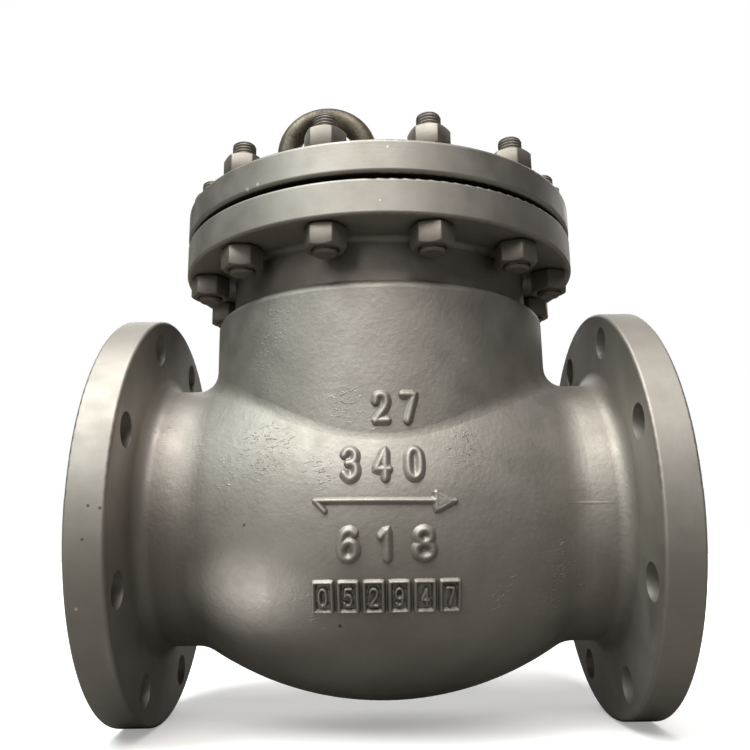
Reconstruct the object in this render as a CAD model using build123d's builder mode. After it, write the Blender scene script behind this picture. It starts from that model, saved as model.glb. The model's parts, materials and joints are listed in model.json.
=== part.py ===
from build123d import *
import os
from math import cos, radians, sin, sqrt, tan

os.makedirs("parts", exist_ok=True)

# Swing check valve for a nominal 150 mm pipe line, in millimetres.
# The X axis is the flow axis and points downstream, +Z points up to the cover.
# The origin is the centre of the inlet bolt circle, on the inlet flange's bolting face.

# Flow port, hubs and pipe flanges, measured between the two raised faces
face_to_face = 356.0
port_radius = 76.0
hub_wall = 13.0
hub_root_radius = 10.0
flange_bolt_offset = 31.65
flange_edge_distance = 19.35
flange_thickness = 23.8
flange_edge_radius = 2.2
raised_face_margin = 12.65
raised_face_height = 1.6
flange_bolt_count = 8
inlet_hole_radius = 11.0
outlet_hole_radius = 11.2

# Seat ring, fitted into the wall between inlet and chamber
seat_bore_inset = 1.0
seat_ring_width = 13.0
seat_ring_depth = 12.0
seat_ring_stand = 4.0
seat_ring_chamfer = 1.0
seat_inset = 39.0
seat_tilt = 5.0
press_clearance = 0.03

# Disc, with its stem and the nut that holds it in the arm
seating_gap = 0.1
disc_overlap = 11.0
disc_face_width = 11.0
disc_face_relief = 2.4
disc_thickness = 16.0
disc_back_fall = 4.0
disc_edge_chamfer = 2.5
disc_hub_radius = 24.0
disc_hub_height = 6.0
stem_radius = 14.0
stem_shoulder = 2.0
stem_spare = 8.0
running_clearance = 0.05
axial_play = 0.3
disc_washer_margin = 8.0
disc_washer_thickness = 3.0
disc_nut_across_flats = 36.0
disc_nut_height = 22.0
castle_slot_depth = 7.0
castle_slot_width = 5.0

# Bowl around the flow axis, barrel and neck that rise from it to the cover
swing_room = 33.0
bowl_bulge = 6.0
bowl_overhang = 1.0
hub_valley_radius = 26.0
hub_valley_share = 1.2
barrel_valley_radius = 14.0
barrel_valley_share = 0.8
body_wall = 12.0
shoulder_rise = 12.0
shoulder_radius_share = 0.55
shoulder_step = 11.0
neck_root_radius_share = 0.35
neck_length = 31.5
neck_bore_lead = 12.0

# Bolted joint between body and cover
body_flange_thickness = 23.5
cover_thickness = 22.0
cover_edge_radius = 2.5
joint_gap = 3.5
stud_offset = 18.5
cover_edge_distance = 16.5
gasket_inset = 4.0
gasket_width = 13.0
gasket_thickness = 3.2
gasket_recess_depth = 4.2
gasket_recess_clearance = 0.5
spigot_clearance = 0.5

# Cover studs and their nuts
stud_count = 12
stud_radius = 8.0
stud_hole_clearance = 1.0
stud_projection_above = 10.7
stud_projection_below = 3.0
stud_end_chamfer = 1.5
nut_across_flats = 24.0
nut_height = 14.8
first_nut_turn = 52.0
nut_turn_step = -18.0
thread_clearance = 0.05

# Shape of every hexagon: share of the flats left flat on top, and the slope of its corners
crown_share = 0.97
crown_angle = 30.0
nut_bore_chamfer = 0.8

# Lifting eyebolts on the cover
eye_circle_radius = 67.0
eye_angle = 238.0
eye_ring_radius = 28.0
eye_bar_radius = 8.0
eye_centre_height = 35.0
eye_collar_radius = 20.0
eye_collar_height = 10.0
eye_collar_rim_height = 5.0
eye_neck_radius = 12.0
eye_shank_radius = 10.0
eye_shank_length = 17.0
eye_hole_spare = 2.0

# Hinge pin, the arm that swings on it and the bracket that carries it
pin_rise = 19.0
pin_radius = 9.0
pin_end_overhang = 9.0
pin_end_chamfer = 1.0
pin_end_clearance = 1.6
pin_hole_margin = 2.4
pin_washer_margin = 6.0
pin_washer_thickness = 2.0
bushing_wall = 2.5
open_angle = 65.0
arm_boss_wall = 2.5
arm_wall_clearance = 3.0
arm_side_play = 0.4
arm_eye_wall = 13.0
arm_eye_thickness = 16.0
arm_waist_half_width = 15.0
arm_eye_share = 0.9
arm_back_bulge = 20.0
arm_root_radius = 5.0
stop_half_width = 12.0
stop_length = 14.0
stop_gap = 0.3
ear_thickness = 9.0
ear_wall = 5.0
bridge_clearance = 4.0
bridge_thickness = 10.0
bridge_downstream = 23.0
bridge_wall_clearance = 3.0
bridge_edge_break = 1.0

# Bracket bolts, with lock washers, and the bosses that they are screwed into
bracket_bolt_radius = 5.0
bracket_bolt_offset_x = 10.0
bracket_bolt_grip = 22.0
bracket_bolt_hole_spare = 3.0
bracket_bolt_across_flats = 17.0
bracket_bolt_head_height = 6.4
bracket_bolt_hole_clearance = 0.5
lock_washer_margin = 4.0
lock_washer_thickness = 2.2
lock_washer_slit = 1.5
boss_wall = 4.0
boss_depth = 40.0

# Split pins
split_pin_radius = 1.6
split_pin_hole_radius = 1.75
split_pin_wire_share = 0.6
split_pin_eye_radius = 2.9
split_pin_leg = 7.0
split_pin_splay = 55.0


def corner_radius(across_flats):
    """Radius over the corners of a hexagon, from its width across flats."""
    return across_flats / sqrt(3)


# Radii that follow from the port, outwards
hub_radius = port_radius + hub_wall
flange_bolt_circle_radius = hub_radius + flange_bolt_offset
flange_radius = flange_bolt_circle_radius + flange_edge_distance
raised_face_radius = flange_bolt_circle_radius - raised_face_margin
seat_bore_radius = port_radius - seat_bore_inset
seat_ring_outer_radius = seat_bore_radius + seat_ring_width
disc_radius = seat_bore_radius + disc_overlap
barrel_radius = disc_radius + swing_room
bowl_radius = barrel_radius + bowl_bulge
chamber_radius = barrel_radius - body_wall
neck_radius = barrel_radius - shoulder_step
neck_bore_radius = neck_radius - body_wall
stud_circle_radius = neck_radius + stud_offset
cover_radius = stud_circle_radius + cover_edge_distance
gasket_inner_radius = neck_bore_radius + gasket_inset
gasket_outer_radius = gasket_inner_radius + gasket_width

# Places along the flow axis
centre_x = face_to_face / 2 - raised_face_height
outlet_x = 2 * centre_x
bowl_half_length = barrel_radius + bowl_overhang
hub_end_x = centre_x - bowl_half_length
seat_x = centre_x - barrel_radius + seat_inset
neck_axis = Axis((centre_x, 0, 0), (0, 0, 1))

# The two valley fillets fit on the straight part of the hub that is left beside them.
hub_straight = hub_end_x - flange_thickness - hub_root_radius
hub_valley_fillet = min(hub_valley_radius, hub_valley_share * hub_straight)
barrel_valley_fillet = min(barrel_valley_radius, barrel_valley_share * (hub_straight + bowl_overhang))

# The step between barrel and neck is rounded at both its corners.
shoulder_radius = shoulder_radius_share * shoulder_step
neck_root_radius = neck_root_radius_share * shoulder_step

# Across the flow, square to the seat: local x is +Y, local y leans up the seat, local z points downstream.
tilt_cos = cos(radians(seat_tilt))
tilt_sin = sin(radians(seat_tilt))
seat_plane = Plane(origin=(seat_x, 0, 0), x_dir=(0, 1, 0), z_dir=(tilt_cos, 0, tilt_sin))
seat_axis = Axis(seat_plane.origin, seat_plane.z_dir)
# Seen from the side: local x points downstream off the seat, local y leans up the seat.
side_plane = Plane(origin=(seat_x, 0, 0), x_dir=(tilt_cos, 0, tilt_sin), z_dir=(0, -1, 0))

# Distances off the seat, downstream: disc, arm, washer, nut and the end of the stem
stem_thread_radius = stem_radius - stem_shoulder
disc_face = seat_ring_stand + seating_gap
disc_back = disc_face + disc_thickness
disc_hub_top = disc_back + disc_hub_height
eye_near = disc_hub_top + axial_play
eye_far = eye_near + arm_eye_thickness
washer_base = eye_far + axial_play
disc_nut_base = washer_base + disc_washer_thickness
disc_nut_top = disc_nut_base + disc_nut_height
stem_end = disc_nut_top + stem_spare
disc_pin_level = disc_nut_top - castle_slot_depth / 2

# Hinge pin, in line with the arm's boss and the bracket's ears
bushing_radius = pin_radius + running_clearance + bushing_wall
arm_boss_radius = bushing_radius + arm_boss_wall
arm_eye_radius = stem_radius + arm_eye_wall
ear_radius = pin_radius + ear_wall
pin_stand_off = arm_boss_radius + arm_wall_clearance
pin_height = disc_radius + pin_rise
pin_x = seat_x + pin_stand_off * tilt_cos - pin_height * tilt_sin
pin_z = pin_stand_off * tilt_sin + pin_height * tilt_cos
pin_plane = Plane.XZ.shift_origin((pin_x, 0, pin_z))
bridge_rise = arm_boss_radius + bridge_clearance
bridge_base = pin_z + bridge_rise
bridge_top = bridge_base + bridge_thickness

# The bracket bolts stand as far out as the neck lets them.
# The hinge fills the room between the two bosses that they are screwed into.
bracket_bolt_x = pin_x + bracket_bolt_offset_x
bracket_bolt_corner = corner_radius(bracket_bolt_across_flats)
bracket_bolt_reach = neck_bore_radius - bridge_wall_clearance - bracket_bolt_corner
bracket_bolt_half_spacing = sqrt(bracket_bolt_reach**2 - (centre_x - bracket_bolt_x) ** 2)
bracket_bolt_spots = [(bracket_bolt_x, side * bracket_bolt_half_spacing) for side in (-1, 1)]
boss_inner_half_width = bracket_bolt_half_spacing - bracket_bolt_radius - boss_wall
boss_front_x = bracket_bolt_x + bracket_bolt_radius + boss_wall
pin_half_length = boss_inner_half_width - pin_end_clearance
ear_outer = pin_half_length - pin_end_overhang
ear_inner = ear_outer - ear_thickness
arm_boss_half_width = ear_inner - arm_side_play
pin_cotter_y = ear_outer + pin_washer_thickness + pin_hole_margin

# Heights of the neck, the body flange and the cover
shoulder_height = bridge_base + shoulder_rise
body_flange_base = shoulder_height + neck_length
joint_height = body_flange_base + body_flange_thickness
cover_base = joint_height + joint_gap
cover_top = cover_base + cover_thickness
gasket_base = joint_height - gasket_recess_depth
gasket_top = gasket_base + gasket_thickness
stud_hole_radius = stud_radius + stud_hole_clearance
stud_start_angle = 180 / stud_count


def hexagon_crown(across_flats, height, rounded_below):
    """Turned blank that rounds off the corners of a hexagon, on top or at both ends."""
    face_radius = crown_share * across_flats / 2
    corner = corner_radius(across_flats)
    drop = (corner - face_radius) * tan(radians(crown_angle))
    if rounded_below:
        lower_points = [(0, 0), (face_radius, 0), (corner, drop)]
    else:
        lower_points = [(0, 0), (corner, 0)]
    with BuildPart() as blank:
        with BuildSketch(Plane.XZ):
            with BuildLine():
                Polyline(
                    *lower_points, (corner, height - drop), (face_radius, height), (0, height), close=True,
                )
            make_face()
        revolve(axis=Axis.Z)
    return blank.part


def hexagon_nut(across_flats, height, bore_radius):
    """Plain hexagon nut standing on the XY plane, with one flat facing +X."""
    with BuildPart() as nut:
        with BuildSketch():
            RegularPolygon(across_flats / 2, 6, major_radius=False, rotation=30)
        extrude(amount=height)
        add(hexagon_crown(across_flats, height, rounded_below=True), mode=Mode.INTERSECT)
        with BuildSketch():
            Circle(bore_radius)
        extrude(amount=height, mode=Mode.SUBTRACT)
        bore_edges = nut.edges().filter_by(GeomType.CIRCLE)
        chamfer([e for e in bore_edges if abs(e.radius - bore_radius) < 0.01], length=nut_bore_chamfer)
    return nut.part


def hexagon_head(across_flats, height):
    """Bolt head standing on the XY plane, rounded off at its top only."""
    with BuildPart() as head:
        with BuildSketch():
            RegularPolygon(across_flats / 2, 6, major_radius=False, rotation=30)
        extrude(amount=height)
        add(hexagon_crown(across_flats, height, rounded_below=False), mode=Mode.INTERSECT)
    return head.part


def split_pin(through):
    """Split pin along +Z, its eye below the XY plane and its legs bent apart at the far end."""
    wire_radius = split_pin_wire_share * split_pin_radius
    with BuildPart() as pin:
        with BuildSketch(Plane.XY.offset(-wire_radius)):
            Circle(split_pin_radius)
        extrude(amount=through + wire_radius)
        with Locations((0, 0, -split_pin_eye_radius - wire_radius)):
            Torus(split_pin_eye_radius, wire_radius, rotation=(90, 0, 0))
        for side in (-1, 1):
            root = Vector(side * (split_pin_radius - wire_radius), 0, through - wire_radius)
            lean = Vector(side * sin(radians(split_pin_splay)), 0, cos(radians(split_pin_splay)))
            with BuildSketch(Plane(origin=root, z_dir=lean)):
                Circle(wire_radius)
            extrude(amount=split_pin_leg)
    return pin.part


# Outline of the flow casting, turned about X: flanges, hubs and the barrel-shaped bowl
with BuildSketch(Plane.XZ) as flow_outline:
    with BuildLine():
        Polyline(
            (hub_end_x, hub_radius), (flange_thickness, hub_radius),
            (flange_thickness, flange_radius), (0, flange_radius),
            (0, raised_face_radius), (-raised_face_height, raised_face_radius),
            (-raised_face_height, 0), (outlet_x + raised_face_height, 0),
            (outlet_x + raised_face_height, raised_face_radius), (outlet_x, raised_face_radius),
            (outlet_x, flange_radius), (outlet_x - flange_thickness, flange_radius),
            (outlet_x - flange_thickness, hub_radius), (outlet_x - hub_end_x, hub_radius),
        )
        ThreePointArc(
            (outlet_x - hub_end_x, hub_radius), (centre_x, bowl_radius), (hub_end_x, hub_radius),
        )
    make_face()
    valley_points = [
        v for v in flow_outline.vertices()
        if abs(abs(v.X - centre_x) - bowl_half_length) < 0.01
    ]
    fillet(valley_points, radius=hub_valley_fillet)
    root_points = [
        v for v in flow_outline.vertices()
        if abs(abs(v.X - centre_x) - (centre_x - flange_thickness)) < 0.01 and v.Y < hub_radius + 1
    ]
    fillet(root_points, radius=hub_root_radius)
    rim_points = [v for v in flow_outline.vertices() if v.Y > flange_radius - 0.01]
    fillet(rim_points, radius=flange_edge_radius)

# The space inside: bowl and barrel behind their walls, cut off by the seat wall
with BuildPart() as chamber:
    with BuildSketch(Plane.XZ):
        with BuildLine():
            ThreePointArc(
                (hub_end_x, hub_radius - body_wall), (centre_x, bowl_radius - body_wall),
                (outlet_x - hub_end_x, hub_radius - body_wall),
            )
            Polyline(
                (outlet_x - hub_end_x, hub_radius - body_wall), (outlet_x - hub_end_x, 0),
                (hub_end_x, 0), (hub_end_x, hub_radius - body_wall),
            )
        make_face()
    revolve(axis=Axis.X)
    lead_base = shoulder_height - body_wall / 2
    with BuildSketch(Plane.XZ.shift_origin((centre_x, 0, 0))):
        with BuildLine():
            Polyline(
                (0, 0), (chamber_radius, 0), (chamber_radius, lead_base - neck_bore_lead),
                (neck_bore_radius, lead_base), (neck_bore_radius, joint_height + 1),
                (0, joint_height + 1), close=True,
            )
        make_face()
    revolve(axis=neck_axis)
    # The wall that carries the seat stays solid up to the level of the bracket.
    with BuildSketch(side_plane) as seat_wall_side:
        with BuildLine():
            Polyline(
                (0, -bowl_radius), (0, bridge_base / tilt_cos),
                (-bowl_radius, bridge_base / tilt_cos), (-bowl_radius, -bowl_radius), close=True,
            )
        make_face()
    extrude(amount=bowl_radius, both=True, mode=Mode.SUBTRACT)
    # Two bosses inside the barrel take the bracket bolts.
    boss_back_x = centre_x - barrel_radius
    for side in (-1, 1):
        boss_low_y, boss_high_y = sorted((side * boss_inner_half_width, side * barrel_radius))
        with BuildSketch(Plane.XY.offset(bridge_base)):
            with Locations(((boss_back_x + boss_front_x) / 2, (boss_low_y + boss_high_y) / 2)):
                Rectangle(boss_front_x - boss_back_x, boss_high_y - boss_low_y)
        extrude(amount=-boss_depth, mode=Mode.SUBTRACT)

with BuildPart() as body:
    add(flow_outline.sketch)
    revolve(axis=Axis.X)
    with BuildSketch(Plane.XZ.shift_origin((centre_x, 0, 0))) as tower_outline:
        with BuildLine():
            Polyline(
                (0, 0), (barrel_radius, 0), (barrel_radius, shoulder_height),
                (neck_radius, shoulder_height), (neck_radius, body_flange_base),
                (cover_radius, body_flange_base), (cover_radius, joint_height),
                (0, joint_height), close=True,
            )
        make_face()
        barrel_points = [
            v for v in tower_outline.vertices()
            if v.Y > shoulder_height - 1 and abs(v.X - barrel_radius) < 0.01
        ]
        fillet(barrel_points, radius=shoulder_radius)
        root_points = [v for v in tower_outline.vertices() if abs(v.X - neck_radius) < 0.01]
        fillet(root_points, radius=neck_root_radius)
        tower_rim = [v for v in tower_outline.vertices() if abs(v.X - cover_radius) < 0.01]
        fillet(tower_rim, radius=flange_edge_radius)
    revolve(axis=neck_axis)
    curved_edges = body.edges().filter_by(GeomType.LINE, reverse=True)
    valley_edges = curved_edges.filter_by(GeomType.CIRCLE, reverse=True)
    fillet(valley_edges, radius=barrel_valley_fillet)
    add(chamber.part, mode=Mode.SUBTRACT)
    # Straight port through both ends
    with BuildSketch(Plane.YZ.offset(-raised_face_height)):
        Circle(port_radius)
    extrude(amount=face_to_face, mode=Mode.SUBTRACT)
    # Pocket for the seat ring
    with BuildSketch(seat_plane):
        Circle(seat_ring_outer_radius + press_clearance)
    extrude(amount=-seat_ring_depth, mode=Mode.SUBTRACT)
    # Recess for the gasket
    with BuildSketch(Plane.XY.offset(joint_height)):
        with Locations((centre_x, 0)):
            Circle(gasket_outer_radius + gasket_recess_clearance)
    extrude(amount=-gasket_recess_depth, mode=Mode.SUBTRACT)
    # Stud holes under the cover
    with Locations((centre_x, 0, joint_height)):
        with PolarLocations(stud_circle_radius, stud_count, start_angle=stud_start_angle):
            Hole(stud_hole_radius, depth=body_flange_thickness)
    # Pipe bolt holes, astride the centre lines, each flange drilled on its own
    for flange_x, hole_radius in ((0, inlet_hole_radius), (outlet_x - flange_thickness, outlet_hole_radius)):
        with BuildSketch(Plane.YZ.offset(flange_x)):
            with PolarLocations(
                flange_bolt_circle_radius, flange_bolt_count, start_angle=180 / flange_bolt_count
            ):
                Circle(hole_radius)
        extrude(amount=flange_thickness, mode=Mode.SUBTRACT)
    # Tapped holes in the bosses
    with BuildSketch(Plane.XY.offset(bridge_base)):
        with Locations(*bracket_bolt_spots):
            Circle(bracket_bolt_radius + thread_clearance)
    extrude(amount=-(bracket_bolt_grip + bracket_bolt_hole_spare), mode=Mode.SUBTRACT)
body.part.label = "body"
export_step(body.part, "parts/body.step")

# Seat ring, proud of its wall by the height that the disc meets
with BuildPart() as seat_ring:
    with BuildSketch(seat_plane.offset(-seat_ring_depth)):
        Circle(seat_ring_outer_radius)
        Circle(seat_bore_radius, mode=Mode.SUBTRACT)
    extrude(amount=seat_ring_depth + seat_ring_stand)
    chamfer(seat_ring.edges().filter_by(GeomType.CIRCLE), length=seat_ring_chamfer)
seat_ring.part.label = "seat_ring"
export_step(seat_ring.part, "parts/seat_ring.step")

# Disc and stem in one piece, turned about the axis of the seat
with BuildPart() as disc:
    with BuildSketch(side_plane) as disc_outline:
        with BuildLine():
            Polyline(
                (disc_face + disc_face_relief, 0),
                (disc_face + disc_face_relief, disc_radius - disc_face_width),
                (disc_face, disc_radius - disc_face_width),
                (disc_face, disc_radius),
                (disc_back - disc_back_fall, disc_radius),
                (disc_back, disc_hub_radius),
                (disc_hub_top, disc_hub_radius),
                (disc_hub_top, stem_radius),
                (washer_base, stem_radius),
                (washer_base, stem_thread_radius),
                (stem_end, stem_thread_radius),
                (stem_end, 0),
                close=True,
            )
        make_face()
        edge_points = [v for v in disc_outline.vertices() if abs(v.Y - disc_radius) < 0.01]
        chamfer(edge_points, length=disc_edge_chamfer)
    revolve(axis=seat_axis)
    with BuildSketch(Plane(origin=seat_plane.origin + seat_plane.z_dir * disc_pin_level, z_dir=(0, 1, 0))):
        Circle(split_pin_hole_radius)
    extrude(amount=stem_radius, both=True, mode=Mode.SUBTRACT)
disc.part.label = "disc"
export_step(disc.part, "parts/disc.step")

# Plain washer on the shoulder of the stem
with BuildPart() as disc_washer:
    with BuildSketch(seat_plane.offset(washer_base)):
        Circle(stem_radius + disc_washer_margin)
        Circle(stem_thread_radius + thread_clearance, mode=Mode.SUBTRACT)
    extrude(amount=disc_washer_thickness)
disc_washer.part.label = "disc_washer"
export_step(disc_washer.part, "parts/disc_washer.step")

# Castle nut, its slots in line with the split pin
with BuildPart() as castle_nut:
    add(hexagon_nut(disc_nut_across_flats, disc_nut_height, stem_thread_radius + thread_clearance))
    with BuildSketch(Plane.XY.offset(disc_nut_height)):
        for slot_angle in (0, 60, 120):
            Rectangle(2 * disc_nut_across_flats, castle_slot_width, rotation=slot_angle)
    extrude(amount=-castle_slot_depth, mode=Mode.SUBTRACT)
with BuildPart() as disc_nut:
    with Locations(seat_plane.offset(disc_nut_base)):
        add(castle_nut.part)
disc_nut.part.label = "disc_nut"
export_step(disc_nut.part, "parts/disc_nut.step")

with BuildPart() as disc_split_pin:
    disc_pin_middle = seat_plane.origin + seat_plane.z_dir * disc_pin_level
    disc_pin_start = disc_pin_middle - Vector(0, disc_nut_across_flats / 2, 0)
    with Locations(Plane(origin=disc_pin_start, x_dir=seat_plane.z_dir, z_dir=(0, 1, 0))):
        add(split_pin(disc_nut_across_flats + 2 * split_pin_radius))
disc_split_pin.part.label = "disc_split_pin"
export_step(disc_split_pin.part, "parts/disc_split_pin.step")

# Hinge arm: a cast lever with a boss for the pin, an eye for the stem and a stop lug
boss_diagonal = arm_boss_radius * cos(radians(45))
with BuildPart() as hinge_arm:
    with BuildSketch(side_plane) as arm_side:
        with BuildLine():
            Polyline(
                (eye_near, -arm_eye_radius), (eye_far, -arm_eye_radius), (eye_far, arm_eye_radius),
                (pin_stand_off + arm_back_bulge, pin_height - arm_back_bulge),
                (pin_stand_off + boss_diagonal, pin_height + boss_diagonal),
                (pin_stand_off, pin_height),
                (eye_near, pin_height), close=True,
            )
        make_face()
        with Locations((pin_stand_off, pin_height)):
            Circle(arm_boss_radius)
        inner_corner = [
            v for v in arm_side.vertices()
            if abs(v.X - eye_near) < 0.01 and pin_height - arm_boss_radius < v.Y < pin_height
        ]
        fillet(inner_corner, radius=arm_root_radius)
    extrude(amount=arm_eye_radius, both=True)
    with BuildSketch(seat_plane) as arm_front:
        Circle(arm_eye_radius)
        with BuildLine():
            Polyline(
                (-arm_eye_share * arm_eye_radius, 0), (-arm_waist_half_width, pin_height / 2),
                (-arm_boss_half_width, pin_height - arm_boss_radius),
                (-arm_boss_half_width, pin_height + arm_boss_radius),
                (arm_boss_half_width, pin_height + arm_boss_radius),
                (arm_boss_half_width, pin_height - arm_boss_radius),
                (arm_waist_half_width, pin_height / 2), (arm_eye_share * arm_eye_radius, 0), close=True,
            )
        make_face()
    extrude(amount=eye_far + arm_back_bulge, mode=Mode.INTERSECT)
    # The lug's face lies flat under the bracket when the disc is fully open.
    stop_plane = Plane(
        origin=(pin_x, 0, pin_z),
        x_dir=(cos(radians(open_angle)), 0, -sin(radians(open_angle))),
        z_dir=(0, -1, 0),
    )
    with BuildSketch(stop_plane):
        Rectangle(stop_length, bridge_rise - stop_gap, align=(Align.MIN, Align.MIN))
    extrude(amount=stop_half_width, both=True)
    with BuildSketch(pin_plane):
        Circle(bushing_radius + press_clearance)
    extrude(amount=arm_boss_half_width, both=True, mode=Mode.SUBTRACT)
    with BuildSketch(seat_plane):
        Circle(stem_radius + running_clearance)
    extrude(amount=eye_far, mode=Mode.SUBTRACT)
hinge_arm.part.label = "hinge_arm"
export_step(hinge_arm.part, "parts/hinge_arm.step")

# Bushing pressed into the arm's boss
with BuildPart() as arm_bushing:
    with BuildSketch(pin_plane):
        Circle(bushing_radius)
        Circle(pin_radius + running_clearance, mode=Mode.SUBTRACT)
    extrude(amount=arm_boss_half_width, both=True)
arm_bushing.part.label = "arm_bushing"
export_step(arm_bushing.part, "parts/arm_bushing.step")

# Hinge pin, cross-drilled at both ends
with BuildPart() as hinge_pin:
    with BuildSketch(pin_plane):
        Circle(pin_radius)
    extrude(amount=pin_half_length, both=True)
    chamfer(hinge_pin.edges().filter_by(GeomType.CIRCLE), length=pin_end_chamfer)
    with BuildSketch(Plane.XY.offset(pin_z)):
        with Locations((pin_x, -pin_cotter_y), (pin_x, pin_cotter_y)):
            Circle(split_pin_hole_radius)
    extrude(amount=pin_radius, both=True, mode=Mode.SUBTRACT)
hinge_pin.part.label = "hinge_pin"
export_step(hinge_pin.part, "parts/hinge_pin.step")

# Washers between the bracket's ears and the split pins
with BuildPart() as hinge_pin_washers:
    for side in (-1, 1):
        with BuildSketch(Plane.XZ.offset(-side * (ear_outer + pin_washer_thickness / 2))):
            with Locations((pin_x, pin_z)):
                Circle(pin_radius + pin_washer_margin)
                Circle(pin_radius + thread_clearance, mode=Mode.SUBTRACT)
        extrude(amount=pin_washer_thickness / 2, both=True)
hinge_pin_washers.part.label = "hinge_pin_washers"
export_step(hinge_pin_washers.part, "parts/hinge_pin_washers.step")

with BuildPart() as hinge_pin_split_pins:
    for side in (-1, 1):
        hinge_cotter_start = (pin_x, side * pin_cotter_y, pin_z + pin_radius)
        with Locations(Plane(origin=hinge_cotter_start, x_dir=(1, 0, 0), z_dir=(0, 0, -1))):
            add(split_pin(2 * pin_radius + 2 * split_pin_radius))
hinge_pin_split_pins.part.label = "hinge_pin_split_pins"
export_step(hinge_pin_split_pins.part, "parts/hinge_pin_split_pins.step")

# Bracket: a bridge bolted over the bosses, with two ears that hold the hinge pin
with BuildPart() as hinge_bracket:
    with BuildSketch(Plane.XY.offset(bridge_base)) as bridge_outline:
        with Locations((centre_x, 0)):
            Circle(neck_bore_radius - bridge_wall_clearance)
        with Locations((pin_x - ear_radius, 0)):
            Rectangle(
                ear_radius + bridge_downstream, 2 * barrel_radius,
                align=(Align.MIN, Align.CENTER), mode=Mode.INTERSECT,
            )
    extrude(amount=bridge_thickness)
    for side in (-1, 1):
        with BuildSketch(Plane.XZ.offset(-side * (ear_inner + ear_thickness / 2))):
            with Locations((pin_x, pin_z)):
                Circle(ear_radius)
                Rectangle(2 * ear_radius, bridge_rise, align=(Align.CENTER, Align.MIN))
        extrude(amount=ear_thickness / 2, both=True)
    with BuildSketch(pin_plane):
        Circle(pin_radius + thread_clearance)
    extrude(amount=ear_outer, both=True, mode=Mode.SUBTRACT)
    with BuildSketch(Plane.XY.offset(bridge_base)):
        with Locations(*bracket_bolt_spots):
            Circle(bracket_bolt_radius + bracket_bolt_hole_clearance)
    extrude(amount=bridge_thickness, mode=Mode.SUBTRACT)
    chamfer(hinge_bracket.faces().sort_by(Axis.Z)[-1].outer_wire().edges(), length=bridge_edge_break)
hinge_bracket.part.label = "hinge_bracket"
export_step(hinge_bracket.part, "parts/hinge_bracket.step")

# Hexagon bolts of the bracket, each with a split lock washer under its head
bracket_bolt_seat = bridge_top + lock_washer_thickness
with BuildPart() as bracket_bolts:
    for bolt_x, bolt_y in bracket_bolt_spots:
        with Locations((bolt_x, bolt_y, bracket_bolt_seat)):
            add(hexagon_head(bracket_bolt_across_flats, bracket_bolt_head_height))
        with BuildSketch(Plane.XY.offset(bridge_base - bracket_bolt_grip)):
            with Locations((bolt_x, bolt_y)):
                Circle(bracket_bolt_radius)
        extrude(amount=bracket_bolt_grip + bridge_thickness + lock_washer_thickness)
bracket_bolts.part.label = "bracket_bolts"
export_step(bracket_bolts.part, "parts/bracket_bolts.step")

with BuildPart() as bracket_lock_washers:
    with BuildSketch(Plane.XY.offset(bridge_top)):
        with Locations(*bracket_bolt_spots):
            Circle(bracket_bolt_radius + lock_washer_margin)
            Circle(bracket_bolt_radius + bracket_bolt_hole_clearance, mode=Mode.SUBTRACT)
            Rectangle(
                bracket_bolt_radius + lock_washer_margin, lock_washer_slit,
                align=(Align.MIN, Align.CENTER), mode=Mode.SUBTRACT,
            )
    extrude(amount=lock_washer_thickness)
bracket_lock_washers.part.label = "bracket_lock_washers"
export_step(bracket_lock_washers.part, "parts/bracket_lock_washers.step")

# Flat ring gasket at the bottom of its recess
with BuildPart() as cover_gasket:
    with BuildSketch(Plane.XY.offset(gasket_base)):
        with Locations((centre_x, 0)):
            Circle(gasket_outer_radius)
            Circle(gasket_inner_radius, mode=Mode.SUBTRACT)
    extrude(amount=gasket_thickness)
cover_gasket.part.label = "cover_gasket"
export_step(cover_gasket.part, "parts/cover_gasket.step")

# Cover: a round plate with a spigot that presses on the gasket
eye_spots = [
    (
        centre_x + eye_circle_radius * cos(radians(eye_angle + turn)),
        eye_circle_radius * sin(radians(eye_angle + turn)),
    )
    for turn in (0, 180)
]
with BuildPart() as cover:
    with BuildSketch(Plane.XY.offset(cover_base)):
        with Locations((centre_x, 0)):
            Circle(cover_radius)
    extrude(amount=cover_thickness)
    fillet(cover.edges().filter_by(GeomType.CIRCLE), radius=cover_edge_radius)
    with BuildSketch(Plane.XY.offset(gasket_top)):
        with Locations((centre_x, 0)):
            Circle(gasket_outer_radius - spigot_clearance)
    extrude(amount=cover_base - gasket_top)
    with Locations((centre_x, 0, cover_top)):
        with PolarLocations(stud_circle_radius, stud_count, start_angle=stud_start_angle):
            Hole(stud_hole_radius, depth=cover_thickness)
    with BuildSketch(Plane.XY.offset(cover_top)):
        with Locations(*eye_spots):
            Circle(eye_shank_radius + thread_clearance)
    extrude(amount=-(eye_shank_length + eye_hole_spare), mode=Mode.SUBTRACT)
cover.part.label = "cover"
export_step(cover.part, "parts/cover.step")

# Studs through both flanges, with a nut at each end
stud_base = body_flange_base - nut_height - stud_projection_below
stud_top = cover_top + nut_height + stud_projection_above
with BuildPart() as cover_studs:
    with BuildSketch(Plane.XY.offset(stud_base)):
        with Locations((centre_x, 0)):
            with PolarLocations(stud_circle_radius, stud_count, start_angle=stud_start_angle):
                Circle(stud_radius)
    extrude(amount=stud_top - stud_base)
    chamfer(cover_studs.edges().filter_by(GeomType.CIRCLE), length=stud_end_chamfer)
cover_studs.part.label = "cover_studs"
export_step(cover_studs.part, "parts/cover_studs.step")

stud_nut = hexagon_nut(nut_across_flats, nut_height, stud_radius + thread_clearance)


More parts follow.
